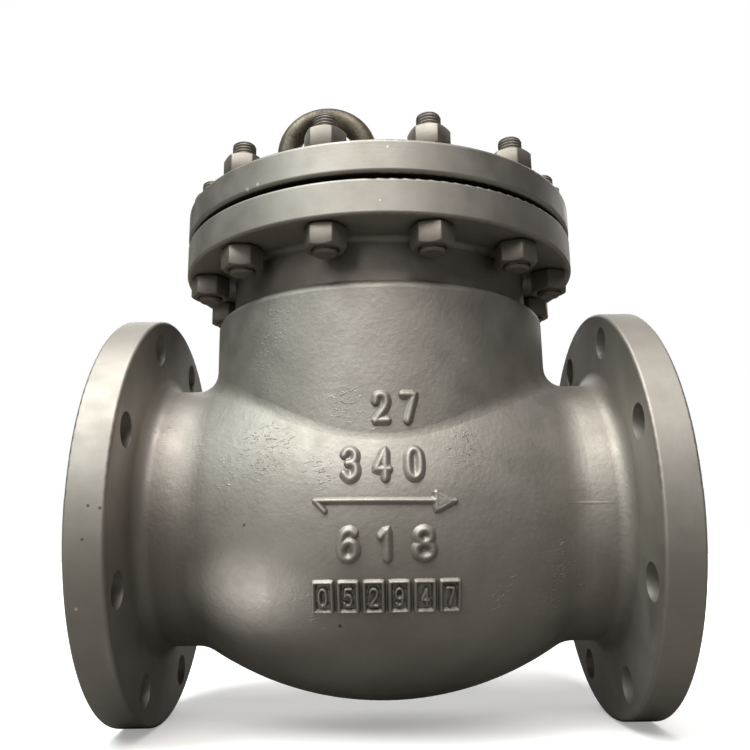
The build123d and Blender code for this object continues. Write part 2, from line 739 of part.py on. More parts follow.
def nut_ring(base):
    """One nut on every stud, standing at this height, each turned a little further than the last."""
    with BuildPart() as nuts:
        for number in range(stud_count):
            stud_angle = radians(stud_start_angle + 360 / stud_count * number)
            nut_x = centre_x + stud_circle_radius * cos(stud_angle)
            nut_y = stud_circle_radius * sin(stud_angle)
            with Locations(Location((nut_x, nut_y, base), (0, 0, first_nut_turn + nut_turn_step * number))):
                add(stud_nut)
    return nuts.part


with BuildPart() as cover_nuts_upper:
    add(nut_ring(cover_top))
cover_nuts_upper.part.label = "cover_nuts_upper"
export_step(cover_nuts_upper.part, "parts/cover_nuts_upper.step")

with BuildPart() as cover_nuts_lower:
    add(nut_ring(body_flange_base - nut_height))
cover_nuts_lower.part.label = "cover_nuts_lower"
export_step(cover_nuts_lower.part, "parts/cover_nuts_lower.step")

# Lifting eyebolt, standing on its collar on the XY plane
with BuildPart() as eyebolt:
    with Locations((0, 0, eye_centre_height)):
        Torus(eye_ring_radius, eye_bar_radius, rotation=(90, 0, 0))
    split(bisect_by=Plane.XY, keep=Keep.TOP)
    with BuildSketch(Plane.XZ):
        with BuildLine():
            Polyline(
                (0, -eye_shank_length), (eye_shank_radius, -eye_shank_length),
                (eye_shank_radius, 0), (eye_collar_radius, 0),
                (eye_collar_radius, eye_collar_rim_height), (eye_neck_radius, eye_collar_height),
                (0, eye_collar_height), close=True,
            )
        make_face()
    revolve(axis=Axis.Z)
with BuildPart() as lifting_eyebolt_front:
    with Locations((*eye_spots[0], cover_top)):
        add(eyebolt.part)
lifting_eyebolt_front.part.label = "lifting_eyebolt_front"
export_step(lifting_eyebolt_front.part, "parts/lifting_eyebolt_front.step")

with BuildPart() as lifting_eyebolt_rear:
    with Locations((*eye_spots[1], cover_top)):
        add(eyebolt.part)
lifting_eyebolt_rear.part.label = "lifting_eyebolt_rear"
export_step(lifting_eyebolt_rear.part, "parts/lifting_eyebolt_rear.step")
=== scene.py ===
"""A flanged swing check valve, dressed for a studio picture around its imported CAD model.

Lengths are in metres in the frame of the CAD model: +X runs along the flow, +Z up to the cover
and -Y towards the camera.  The origin is the centre of the inlet bolt circle.
"""
import json
import logging
from dataclasses import dataclass, field, replace
from enum import Enum
from math import ceil, cos, floor, hypot, pi, radians, sin, sqrt, tan
from typing import Any, Sequence

import bpy
from mathutils import Matrix, Vector
from mathutils.bvhtree import BVHTree

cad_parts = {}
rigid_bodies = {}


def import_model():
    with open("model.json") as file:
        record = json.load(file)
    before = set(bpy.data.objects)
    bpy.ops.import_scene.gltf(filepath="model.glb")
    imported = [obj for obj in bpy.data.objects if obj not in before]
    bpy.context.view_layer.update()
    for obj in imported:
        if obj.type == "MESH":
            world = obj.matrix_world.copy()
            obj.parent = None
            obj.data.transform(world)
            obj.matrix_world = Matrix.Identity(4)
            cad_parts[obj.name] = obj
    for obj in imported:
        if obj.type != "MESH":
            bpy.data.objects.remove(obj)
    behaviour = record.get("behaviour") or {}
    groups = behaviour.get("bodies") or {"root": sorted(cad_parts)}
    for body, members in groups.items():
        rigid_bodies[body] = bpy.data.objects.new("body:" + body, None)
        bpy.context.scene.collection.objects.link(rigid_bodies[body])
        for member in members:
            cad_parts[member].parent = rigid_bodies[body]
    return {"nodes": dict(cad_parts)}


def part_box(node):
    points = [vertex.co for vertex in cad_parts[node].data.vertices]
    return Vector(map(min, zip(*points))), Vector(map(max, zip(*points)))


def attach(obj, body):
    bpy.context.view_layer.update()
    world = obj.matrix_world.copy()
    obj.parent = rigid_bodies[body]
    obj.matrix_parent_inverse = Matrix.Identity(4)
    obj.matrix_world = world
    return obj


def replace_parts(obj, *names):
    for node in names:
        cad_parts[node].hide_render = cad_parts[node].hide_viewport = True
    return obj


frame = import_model()

MM = 0.001
# The body's middle lies here along the flow, and the barrel, the neck and the cover stand about it.
FLOW_MIDDLE = 176.4 * MM
WHITE = "#FFFFFF"
Point = tuple[float, float]
Triple = tuple[float, float, float]
Ring = list[Vector]
Shell = list[Ring]
MeshParts = tuple[list[Vector], list[tuple[int, ...]]]
ALONG_FLOW: Triple = (1.0, 0.0, 0.0)
SIDEWAYS: Triple = (0.0, 1.0, 0.0)
UPWARD: Triple = (0.0, 0.0, 1.0)


class Region(Enum):
    """The part of the casting that a mask picks out."""

    FLANGE = "the two pipe flanges, turned all over"
    RAISED_FACE = "the gasket faces at both ends, turned and left bare"
    JOINT = "the round flange under the cover"
    INSIDE = "the walls that the fluid touches"


class Coat(Enum):
    """How rough the steel is under the paint."""

    SAND_CAST = 1.0
    TURNED = 0.25
    FORGED = 0.4


class Bend(Enum):
    """How a stroke of a cast character runs through its points."""

    STRAIGHT = "straight"
    CURVED = "curved"


def linear(colour: str) -> tuple[float, float, float, float]:
    """Turn an sRGB colour into the linear values that shaders take.

    Args:
        colour: Six hexadecimal digits after a hash sign.

    Returns:
        Linear red, green and blue, and an alpha of 1.
    """
    shares = [int(colour[i:i + 2], 16) / 255 for i in (1, 3, 5)]
    return (*(s / 12.92 if s <= 0.04045 else ((s + 0.055) / 1.055) ** 2.4 for s in shares), 1.0)


def add_node(
    tree: bpy.types.NodeTree, kind: str, sockets: dict[Any, Any] | None = None, **settings: Any,
) -> bpy.types.Node:
    """Add one node with its settings, values and links.

    Args:
        tree: The node tree that gets the node.
        kind: The node's type; a shader node's goes without its ShaderNode prefix.
        sockets: Values by input name or number; a node or an output socket is linked instead.
        **settings: Properties of the node itself.

    Returns:
        The new node.
    """
    node = tree.nodes.new(kind if "Node" in kind else "ShaderNode" + kind)
    for name, value in settings.items():
        setattr(node, name, value)
    for key, value in (sockets or {}).items():
        if isinstance(value, bpy.types.Node):
            value = value.outputs[0]
        if isinstance(value, bpy.types.NodeSocket):
            tree.links.new(value, node.inputs[key])
        else:
            node.inputs[key].default_value = value
    return node


def new_material(name: str) -> tuple[bpy.types.Material, bpy.types.NodeTree]:
    """Make an empty node material.

    Args:
        name: The finish's name.

    Returns:
        The material and its node tree.
    """
    material = bpy.data.materials.new(name)
    material.use_nodes = True
    material.node_tree.nodes.clear()
    return material, material.node_tree


def ramp_between(tree: bpy.types.NodeTree, value: Any, low: float, high: float) -> bpy.types.Node:
    """Fade smoothly from 0 to 1 while a value goes from one limit to the other.

    Args:
        tree: The node tree.
        value: The node or socket that is read.
        low: Where the fade starts.
        high: Where the fade ends; below low, the fade runs the other way.

    Returns:
        The node that holds the fade.
    """
    limits = {0: value, 1: low, 2: high, 3: 0.0, 4: 1.0}
    return add_node(tree, "MapRange", limits, interpolation_type="SMOOTHSTEP")


def blend_colours(tree: bpy.types.NodeTree, share: Any, first: Any, second: Any) -> bpy.types.NodeSocket:
    """Blend two colours.

    Args:
        tree: The node tree.
        share: How much of the second colour shows, from 0 to 1.
        first: A linear colour, or the socket that holds it.
        second: Another one.

    Returns:
        The socket that holds the blend.
    """
    return add_node(tree, "Mix", {0: share, 6: first, 7: second}, data_type="RGBA").outputs[2]


def distance_along(tree: bpy.types.NodeTree, place: Any, axis: Triple) -> bpy.types.NodeSocket:
    """Measure how far a place lies along an axis through the origin.

    Args:
        tree: The node tree.
        place: The node or socket that holds the place.
        axis: The axis.

    Returns:
        The socket that holds the distance.
    """
    return add_node(tree, "VectorMath", {0: place, 1: axis}, operation="DOT_PRODUCT").outputs["Value"]


def length_of(tree: bpy.types.NodeTree, arrow: Any) -> bpy.types.NodeSocket:
    """Measure a vector.

    Args:
        tree: The node tree.
        arrow: The node or socket that holds the vector.

    Returns:
        The socket that holds its length.
    """
    return add_node(tree, "VectorMath", {0: arrow}, operation="LENGTH").outputs["Value"]


@dataclass(frozen=True)
class Rounding:
    """An edge's rounding that runs in a ring: where its section has its centre, and how big it is."""

    ring_radius: float
    height: float
    radius: float
    hollow: bool = False


@dataclass(frozen=True)
class RingEdges:
    """The roundings about one axis, which get the normals of a true round section.

    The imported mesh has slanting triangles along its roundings, and their own normals would break
    up the thin highlight on an edge.  Mirrored roundings lie on both sides of the middle.
    """

    axis: Triple
    middle: Triple
    mirrored: bool
    roundings: tuple[Rounding, ...]
    tolerance: float = 0.03 * MM

    def normals(self, tree: bpy.types.NodeTree, place: Any, normal: Any) -> Any:
        """Replace the normals on the roundings and keep the others.

        Args:
            tree: The geometry node tree.
            place: The mesh's positions.
            normal: The normals so far.

        Returns:
            The socket that holds the normals.
        """
        offset = add_node(tree, "VectorMath", {0: place, 1: self.middle}, operation="SUBTRACT")
        along = distance_along(tree, offset, self.axis)
        lift = add_node(tree, "VectorMath", {0: self.axis, "Scale": along}, operation="SCALE")
        across = add_node(tree, "VectorMath", {0: offset, 1: lift}, operation="SUBTRACT")
        radius = length_of(tree, across)
        outward = add_node(tree, "VectorMath", {0: across}, operation="NORMALIZE")
        side = add_node(tree, "Math", {0: along}, operation="SIGN") if self.mirrored else 1.0
        level = add_node(tree, "Math", {0: along, 1: side}, operation="MULTIPLY")
        for rounding in self.roundings:
            above = add_node(tree, "Math", {0: level, 1: rounding.height}, operation="SUBTRACT")
            rise = add_node(tree, "Math", {0: above, 1: side}, operation="MULTIPLY")
            reach = add_node(tree, "Math", {0: radius, 1: rounding.ring_radius}, operation="SUBTRACT")
            upright = add_node(tree, "VectorMath", {0: self.axis, "Scale": rise}, operation="SCALE")
            sideways = add_node(tree, "VectorMath", {0: outward, "Scale": reach}, operation="SCALE")
            spoke = add_node(tree, "VectorMath", {0: upright, 1: sideways}, operation="ADD")
            fit = {0: length_of(tree, spoke), 1: rounding.radius, 2: self.tolerance}
            on_it = add_node(tree, "Math", fit, operation="COMPARE")
            way = -1.0 if rounding.hollow else 1.0
            outside = add_node(tree, "VectorMath", {0: spoke, "Scale": way}, operation="SCALE")
            true = add_node(tree, "VectorMath", {0: outside}, operation="NORMALIZE")
            normal = add_node(tree, "Mix", {0: on_it, 4: normal, 5: true}, data_type="VECTOR").outputs[1]
        return normal


@dataclass(frozen=True)
class Casting:
    """Where the valve body's surfaces lie, as masks in the CAD frame."""

    middle_x: float = FLOW_MIDDLE
    flange_back: float = 152.6 * MM
    end_face: float = 176.4 * MM
    flange_radius: float = 140 * MM
    edge_radius: float = 2.2 * MM
    hub_radius: float = 89 * MM
    hub_root: float = 10 * MM
    port_radius: float = 76 * MM
    bowl_radius: float = 125 * MM
    bowl_arc_radius: float = 218 * MM
    bowl_top: float = 90 * MM
    barrel_radius: float = 119 * MM
    neck_radius: float = 108 * MM
    neck_root: float = 3.85 * MM
    shoulder_z: float = 136.14 * MM
    shoulder_edge: float = 6.05 * MM
    joint_radius: float = 143 * MM
    joint_z: float = 167.64 * MM
    joint_top: float = 191.14 * MM
    wall: float = 12 * MM
    soft_edge: float = 1 * MM

    def mask(self, tree: bpy.types.NodeTree, region: Region) -> bpy.types.Node:
        """Build the mask of one region.

        Args:
            tree: The node tree.
            region: Which part of the casting is wanted.

        Returns:
            A node that is 1 inside the region and 0 elsewhere.
        """
        place = add_node(tree, "TexCoord").outputs["Object"]
        middle = (self.middle_x, 0, 0)
        from_middle = add_node(tree, "VectorMath", {0: place, 1: middle}, operation="SUBTRACT")
        signed = add_node(tree, "SeparateXYZ", {0: from_middle})
        along = add_node(tree, "Math", {0: signed}, operation="ABSOLUTE")
        height = add_node(tree, "SeparateXYZ", {0: place}).outputs["Z"]
        across = add_node(tree, "VectorMath", {0: place, 1: (0, 1, 1)}, operation="MULTIPLY")
        from_flow = length_of(tree, across)
        level = add_node(tree, "VectorMath", {0: from_middle, 1: (1, 1, 0)}, operation="MULTIPLY")
        from_neck = length_of(tree, level)
        if region is Region.FLANGE:
            return ramp_between(tree, along, self.flange_back - 3 * MM, self.flange_back)
        if region is Region.RAISED_FACE:
            proud = ramp_between(tree, along, self.end_face + 0.9 * MM, self.end_face + 1.3 * MM)
            port_edge = (self.port_radius - 0.2 * MM, self.port_radius + 0.2 * MM)
            outside_port = ramp_between(tree, from_flow, *port_edge)
            return add_node(tree, "Math", {0: proud, 1: outside_port}, operation="MULTIPLY")
        if region is Region.JOINT:
            return ramp_between(tree, height, self.joint_z - 6 * MM, self.joint_z)
        port = ramp_between(tree, from_flow, self.port_radius + 0.8 * MM, self.port_radius + 0.4 * MM)
        square = add_node(tree, "Math", {0: along, 1: along}, operation="MULTIPLY")
        drop = add_node(tree, "Math", {0: self.bowl_arc_radius ** 2, 1: square}, operation="SUBTRACT")
        arc = add_node(tree, "Math", {0: drop}, operation="SQRT")
        depth = add_node(tree, "Math", {0: arc, 1: from_flow}, operation="SUBTRACT")
        bowl_skin = self.bowl_arc_radius - self.bowl_radius + self.wall / 2
        in_bowl = ramp_between(tree, depth, bowl_skin, bowl_skin + self.soft_edge)
        barrel_skin = self.barrel_radius - self.wall / 2
        in_barrel = ramp_between(tree, from_neck, barrel_skin, barrel_skin - self.soft_edge)
        neck_skin = self.neck_radius - self.wall / 2
        in_neck = ramp_between(tree, from_neck, neck_skin, neck_skin - self.soft_edge)
        above = ramp_between(tree, height, self.shoulder_z - 20 * MM, self.shoulder_z - 14 * MM)
        tower = add_node(tree, "Mix", {0: above, 2: in_barrel, 3: in_neck})
        over_bowl = ramp_between(tree, height, self.bowl_top - 2 * MM, self.bowl_top + 2 * MM)
        bowl_or_tower = add_node(tree, "Mix", {0: over_bowl, 2: in_bowl, 3: tower})
        chamber_only = ramp_between(tree, along, self.barrel_radius + 2 * MM, self.barrel_radius)
        chamber = add_node(tree, "Math", {0: bowl_or_tower, 1: chamber_only}, operation="MULTIPLY")
        return add_node(tree, "Math", {0: port, 1: chamber}, operation="MAXIMUM")

    def edges(self) -> tuple[RingEdges, ...]:
        """List the casting's ring-shaped roundings.

        Returns:
            Those about the flow axis and those about the neck's axis.
        """
        edge, root, turn, foot = self.edge_radius, self.hub_root, self.shoulder_edge, self.neck_root
        middle = (self.middle_x, 0.0, 0.0)
        return (
            RingEdges(ALONG_FLOW, middle, True, (
                Rounding(self.flange_radius - edge, self.end_face - edge, edge),
                Rounding(self.flange_radius - edge, self.flange_back + edge, edge),
                Rounding(self.hub_radius + root, self.flange_back - root, root, hollow=True),
            )),
            RingEdges(UPWARD, middle, False, (
                Rounding(self.joint_radius - edge, self.joint_z + edge, edge),
                Rounding(self.joint_radius - edge, self.joint_top - edge, edge),
                Rounding(self.barrel_radius - turn, self.shoulder_z - turn, turn),
                Rounding(self.neck_radius + foot, self.shoulder_z + foot, foot, hollow=True),
            )),
        )


@dataclass(frozen=True)
class Chip:
    """A small spot where the paint is chipped or soiled."""

    place: Triple
    radius: float
    colour: str


@dataclass(frozen=True)
class Scar:
    """A patch of the casting where the mould left many nicks."""

    place: Triple
    radius: float


# Where the paint has chipped, its pale primer makes a light dot, and a grain of dirt makes a dark one.
PRIMER = "#CFCABE"
DIRT = "#6A645D"


@dataclass(frozen=True)
class SilverPaint:
    """Silver-grey alkyd enamel with aluminium pigment, sprayed over steel.

    The pigment gives the eye a soft metal glow without a mirror in it.  The sand mould shows
    through as a fine orange peel with short nicks, and the lathe as faint rings.
    """

    name: str
    coat: Coat
    lit_colour: str = "#A6A19A"
    worn_colour: str = "#9A958D"
    # Painted shade: creases and recesses darken towards this colour, out to the reach set below.
    painted_shade_colour: str = "#4F4A43"
    metallic: float = 0.92
    roughness: float = 0.6
    peel_size: float = 3.2 * MM
    grit_size: float = 1.1 * MM
    nick_length: float = 6.0 * MM
    nick_width: float = 1.5 * MM
    ring_pitch: float = 0.9 * MM
    haze_size: float = 18 * MM
    patch_size: float = 60 * MM
    skin_depth: float = 0.6 * MM
    nick_depth: float = 0.28 * MM
    ring_depth: float = 0.06 * MM
    painted_shade_reach: float = 9 * MM
    chips: tuple[Chip, ...] = ()
    scars: tuple[Scar, ...] = ()

    def tone(self, tree: bpy.types.NodeTree, place: Any) -> bpy.types.NodeSocket:
        """Mix the paint's colour: thin and thick coat, painted shade in the creases, and the chips.

        Args:
            tree: The node tree.
            place: Object coordinates.

        Returns:
            The socket that holds the colour.
        """
        patchy = {"Vector": place, "Scale": 1 / self.patch_size, "Detail": 5.0, "Roughness": 0.6}
        spread = ramp_between(tree, add_node(tree, "TexNoise", patchy), 0.35, 0.68)
        paint = blend_colours(tree, spread, linear(self.worn_colour), linear(self.lit_colour))
        # Painted shade: ambient occlusion darkens the colour in creases, recesses and thread grooves.
        crease_occlusion = add_node(tree, "AmbientOcclusion", {"Distance": self.painted_shade_reach}, samples=6)
        unshaded_share = ramp_between(tree, crease_occlusion.outputs["AO"], 0.25, 0.85)
        colour = blend_colours(tree, unshaded_share, linear(self.painted_shade_colour), paint)
        ragged = add_node(tree, "TexNoise", {"Vector": place, "Scale": 1 / self.grit_size, "Detail": 3.0})
        for chip in self.chips:
            gap = add_node(tree, "VectorMath", {0: place, 1: chip.place}, operation="DISTANCE")
            away = gap.outputs["Value"]
            rim = add_node(tree, "Math", {0: ragged, 1: chip.radius, 2: away}, operation="MULTIPLY_ADD")
            inside = ramp_between(tree, rim, 1.65 * chip.radius, 1.35 * chip.radius)
            colour = blend_colours(tree, inside, colour, linear(chip.colour))
        return colour

    def relief(
        self, tree: bpy.types.NodeTree, place: Any, turned: Sequence[tuple[Any, Triple]],
    ) -> bpy.types.Node:
        """Build the bump of the coat: orange peel, grit and nicks as cast, rings where turned.

        Args:
            tree: The node tree.
            place: Object coordinates.
            turned: The mask of each turned surface, with the axis that it was turned about.

        Returns:
            The node that holds the bumped normal.
        """
        smooth: Any = 0.0
        lines: Any = 0.0
        for mask, axis in turned:
            rings = {"W": distance_along(tree, place, axis), "Scale": 1 / self.ring_pitch, "Detail": 3.0}
            line = add_node(tree, "TexNoise", rings, noise_dimensions="1D")
            smooth = add_node(tree, "Math", {0: smooth, 1: mask}, operation="MAXIMUM")
            lines = add_node(tree, "Math", {0: line, 1: mask, 2: lines}, operation="MULTIPLY_ADD")
        peel = add_node(tree, "TexNoise", {"Vector": place, "Scale": 1 / self.peel_size, "Detail": 2.0})
        gritty = {"Vector": place, "Scale": 1 / self.grit_size, "Detail": 3.0, "Roughness": 0.6}
        grit = add_node(tree, "TexNoise", gritty)
        stretch = (1 / self.nick_length, 1 / self.nick_width, 1 / self.nick_width)
        streak_place = add_node(tree, "VectorMath", {0: place, 1: stretch}, operation="MULTIPLY")
        streaky = {"Vector": streak_place, "Scale": 1.0, "Detail": 1.0, "Distortion": 0.8}
        nicks = ramp_between(tree, add_node(tree, "TexNoise", streaky), 0.6, 0.7)
        gather = add_node(tree, "TexNoise", {"Vector": place, "Scale": 1 / self.patch_size, "Detail": 2.0})
        scarred: Any = ramp_between(tree, gather, 0.6, 0.7)
        for scar in self.scars:
            away = add_node(tree, "VectorMath", {0: place, 1: scar.place}, operation="DISTANCE")
            near = ramp_between(tree, away.outputs["Value"], scar.radius, scar.radius / 2)
            scarred = add_node(tree, "Math", {0: scarred, 1: near}, operation="MAXIMUM")
        nick_share = add_node(tree, "Math", {0: nicks, 1: scarred}, operation="MULTIPLY")
        skin = add_node(tree, "Math", {0: grit, 1: 0.35, 2: peel}, operation="MULTIPLY_ADD")
        cast = 0.34 * self.coat.value
        rough = add_node(tree, "MapRange", {0: smooth, 1: 0.0, 2: 1.0, 3: cast, 4: 0.06})
        fine = add_node(tree, "Bump", {"Height": skin, "Strength": rough, "Distance": self.skin_depth})
        nicked = add_node(tree, "MapRange", {0: smooth, 1: 0.0, 2: 1.0, 3: self.coat.value, 4: 0.0})
        cut = add_node(tree, "Bump", {
            "Height": nick_share, "Strength": nicked, "Distance": self.nick_depth, "Normal": fine,
        })
        if not turned:
            return cut
        return add_node(tree, "Bump", {
            "Height": lines, "Strength": 0.4, "Distance": self.ring_depth, "Normal": cut,
        })

    def coating(
        self, tree: bpy.types.NodeTree, place: Any, turned: Sequence[tuple[Any, Triple]],
    ) -> bpy.types.Node:
        """Build the painted surface's shader.

        Args:
            tree: The node tree.
            place: Object coordinates.
            turned: The mask of each turned surface, with the axis that it was turned about.

        Returns:
            The Principled shader node.
        """
        haze = add_node(tree, "TexNoise", {"Vector": place, "Scale": 1 / self.haze_size, "Detail": 4.0})
        glossy, dull = self.roughness - 0.05, self.roughness + 0.07
        sheen = add_node(tree, "MapRange", {0: haze, 1: 0.3, 2: 0.7, 3: glossy, 4: dull})
        return add_node(tree, "BsdfPrincipled", {
            "Base Color": self.tone(tree, place),
            "Metallic": self.metallic,
            "Roughness": sheen,
            "Normal": self.relief(tree, place, turned),
        })

    def build(self, turned_about: Triple | None = None) -> bpy.types.Material:
        """Make the material for a piece that is painted all over.

        Args:
            turned_about: The axis of a piece that was turned before it was painted.

        Returns:
            The material.
        """
        material, tree = new_material(self.name)
        place = add_node(tree, "TexCoord").outputs["Object"]
        turned = [(1.0, turned_about)] if turned_about else []
        add_node(tree, "OutputMaterial", {"Surface": self.coating(tree, place, turned)})
        return material


@dataclass(frozen=True)
class TurnedSteel:
    """Steel turned on a lathe: fine rings about one axis catch the light as a soft cross."""

    name: str
    centre: Triple
    axis: Triple
    colour: str = "#B9B5AC"
    shade: str = "#A6A299"
    roughness: float = 0.32
    ring_pitch: float = 0.8 * MM
    pitch_per_depth: float = 14.0
    cloud_size: float = 22 * MM

    def surface(self, tree: bpy.types.NodeTree) -> bpy.types.Node:
        """Build the turned metal's shader.

        Args:
            tree: The node tree.

        Returns:
            The Principled shader node.
        """
        place = add_node(tree, "TexCoord").outputs["Object"]
        offset = add_node(tree, "VectorMath", {0: place, 1: self.centre}, operation="SUBTRACT")
        along = distance_along(tree, offset, self.axis)
        sideways = add_node(tree, "VectorMath", {0: offset, 1: self.axis}, operation="CROSS_PRODUCT")
        radius = length_of(tree, sideways)
        travel = add_node(tree, "Math", {0: radius, 1: along}, operation="ADD")
        groove = add_node(tree, "Math", {0: travel, 1: 2 * pi / self.ring_pitch}, operation="MULTIPLY")
        wave = add_node(tree, "Math", {0: groove}, operation="SINE")
        depth = self.ring_pitch / self.pitch_per_depth
        bump = add_node(tree, "Bump", {"Height": wave, "Strength": 0.5, "Distance": depth})
        clouds = add_node(tree, "TexNoise", {"Vector": place, "Scale": 1 / self.cloud_size, "Detail": 4.0})
        spread = ramp_between(tree, clouds, 0.3, 0.75)
        metal = blend_colours(tree, spread, linear(self.shade), linear(self.colour))
        dull, bright = self.roughness + 0.1, self.roughness
        gloss = add_node(tree, "MapRange", {0: clouds, 1: 0.3, 2: 0.7, 3: dull, 4: bright})
        return add_node(tree, "BsdfPrincipled", {
            "Base Color": metal, "Metallic": 1.0, "Roughness": gloss, "Normal": bump,
        })

    def build(self) -> bpy.types.Material:
        """Make the material.

        Returns:
            The material.
        """
        material, tree = new_material(self.name)
        add_node(tree, "OutputMaterial", {"Surface": self.surface(tree)})
        return material


@dataclass(frozen=True)
class RoughMetal:
    """Metal left as it came from the mould, hammer or saw: grain in the colour, gloss and bump."""

    name: str
    colour: str
    shade: str
    metallic: float
    roughness: float
    grain: float
    depth: float
    grains_per_patch: float = 12.0

    def surface(self, tree: bpy.types.NodeTree) -> bpy.types.Node:
        """Build the shader.

        Args:
            tree: The node tree.

        Returns:
            The Principled shader node.
        """
        place = add_node(tree, "TexCoord").outputs["Object"]
        grainy = {"Vector": place, "Scale": 1 / self.grain, "Detail": 4.0, "Roughness": 0.65}
        grain = add_node(tree, "TexNoise", grainy)
        patch_size = self.grains_per_patch * self.grain
        patches = add_node(tree, "TexNoise", {"Vector": place, "Scale": 1 / patch_size, "Detail": 3.0})
        both = add_node(tree, "Math", {0: grain, 1: 0.4, 2: patches}, operation="MULTIPLY_ADD")
        spread = ramp_between(tree, both, 0.55, 0.85)
        metal = blend_colours(tree, spread, linear(self.shade), linear(self.colour))
        dull, bright = self.roughness + 0.08, self.roughness - 0.06
        gloss = add_node(tree, "MapRange", {0: both, 1: 0.5, 2: 0.9, 3: dull, 4: bright})
        bump = add_node(tree, "Bump", {"Height": grain, "Strength": 0.35, "Distance": self.depth})
        return add_node(tree, "BsdfPrincipled", {
            "Base Color": metal, "Metallic": self.metallic, "Roughness": gloss, "Normal": bump,
        })

    def build(self) -> bpy.types.Material:
        """Make the material.

        Returns:
            The material.
        """
        material, tree = new_material(self.name)
        add_node(tree, "OutputMaterial", {"Surface": self.surface(tree)})
        return material


# Abrasive-blasted cast steel, never painted: dull, brownish grey and finely pitted.
BLASTED_CASTING = RoughMetal("blasted_cast_steel", "#7D776E", "#605A52", 0.8, 0.55, 1.3 * MM, 0.5 * MM)
# Drop-forged steel with its oxide skin: nearly black, with a dull shine on the round of the bar.
FORGED_BLACK = RoughMetal("black_oxide_forged_steel", "#6B6455", "#3B372E", 0.6, 0.48, 1.8 * MM, 0.4 * MM)
# Pressed graphite sheet: matt and dark, with a faint grain.
GRAPHITE = RoughMetal("graphite_sheet", "#37373A", "#222224", 0.2, 0.7, 0.7 * MM, 0.2 * MM)
# Bushing bronze, bored and reamed: a warm brown metal.
BRONZE = RoughMetal("bushing_bronze", "#B08A55", "#84623A", 1.0, 0.3, 0.6 * MM, 0.05 * MM)
# Drawn stainless wire: bright, with a trace of die lines.
DRAWN_WIRE = RoughMetal("drawn_stainless_wire", "#BDBAB3", "#8D8A84", 1.0, 0.28, 0.5 * MM, 0.05 * MM)


def piece_from(
    name: str, mesh: bpy.types.Mesh, material: bpy.types.Material, sharp_angle: float,
) -> bpy.types.Object:
    """Link a mesh as a piece of the valve body, smooth but for its sharp edges.

    Args:
        name: The piece's name.
        mesh: Its mesh, in the CAD frame.
        material: Its finish.
        sharp_angle: Edges bent by more than this many degrees stay sharp.

    Returns:
        The new object.
    """
    mesh.validate()
    mesh.materials.clear()
    mesh.materials.append(material)
    mesh.shade_smooth()
    mesh.set_sharp_from_angle(angle=radians(sharp_angle))
    piece = bpy.data.objects.new(name, mesh)
    bpy.context.scene.collection.objects.link(piece)
    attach(piece, "valve_body")
    return piece


def dress_node(node: str, material: bpy.types.Material, edges: Sequence[RingEdges] = ()) -> None:
    """Give a CAD node its finish, with normals that keep its faces even beside their roundings.

    Args:
        node: The CAD node.
        material: Its finish.
        edges: The node's ring-shaped roundings, where they are known.
    """
    piece = frame["nodes"][node]
    piece.material_slots[0].material = material
    if not edges:
        flat_faces = piece.modifiers.new("flat_faces", "WEIGHTED_NORMAL")
        flat_faces.keep_sharp = True
        flat_faces.weight = 100
        return
    tree = bpy.data.node_groups.new("true_edges_of_" + node, "GeometryNodeTree")
    tree.interface.new_socket("Mesh", in_out="INPUT", socket_type="NodeSocketGeometry")
    tree.interface.new_socket("Mesh", in_out="OUTPUT", socket_type="NodeSocketGeometry")
    place = add_node(tree, "GeometryNodeInputPosition")
    normal: Any = add_node(tree, "GeometryNodeInputNormal")
    for ring in edges:
        normal = ring.normals(tree, place, normal)
    shape = {"Mesh": add_node(tree, "NodeGroupInput"), "Custom Normal": normal}
    shaded = add_node(tree, "GeometryNodeSetMeshNormal", shape, mode="FREE", domain="CORNER")
    add_node(tree, "NodeGroupOutput", {0: shaded})
    piece.modifiers.new("true_edges", "NODES").node_group = tree


def remeshed(mesh: bpy.types.Mesh, voxel: float, smoothing: int) -> bpy.types.Mesh:
    """Fuse a mesh's overlapping shells into one skin and soften it.

    Args:
        mesh: The closed shells.
        voxel: Size of the remesh grid.
        smoothing: How many times the skin is smoothed.

    Returns:
        The fused mesh.
    """
    carrier = bpy.data.objects.new("carrier", mesh)
    bpy.context.scene.collection.objects.link(carrier)
    grid = carrier.modifiers.new("grid", "REMESH")
    grid.mode = "VOXEL"
    grid.voxel_size = voxel
    soften = carrier.modifiers.new("soften", "SMOOTH")
    soften.factor = 0.5
    soften.iterations = smoothing
    ready = carrier.evaluated_get(bpy.context.evaluated_depsgraph_get())
    result = bpy.data.meshes.new_from_object(ready)
    bpy.data.objects.remove(carrier)
    return result


def skin_of_rings(rings: Shell, closed_way_round: bool, faces_from: int) -> MeshParts:
    """Join a row of equal rings with quads.

    Args:
        rings: The rings, each with the same number of points.
        closed_way_round: Whether the last ring joins the first; otherwise both ends get a cap.
        faces_from: Number of the first vertex, for a mesh with several shells.

    Returns:
        The vertices and the faces.
    """
    count, size = len(rings), len(rings[0])
    vertices = [point for ring in rings for point in ring]
    faces: list[tuple[int, ...]] = []
    for row in range(count if closed_way_round else count - 1):
        after = (row + 1) % count
        for column in range(size):
            beside = (column + 1) % size
            faces.append(tuple(faces_from + i for i in (
                row * size + column, row * size + beside, after * size + beside, after * size + column,
            )))
    if not closed_way_round:
        faces.append(tuple(faces_from + i for i in reversed(range(size))))
        faces.append(tuple(faces_from + (count - 1) * size + i for i in range(size)))
    return vertices, faces


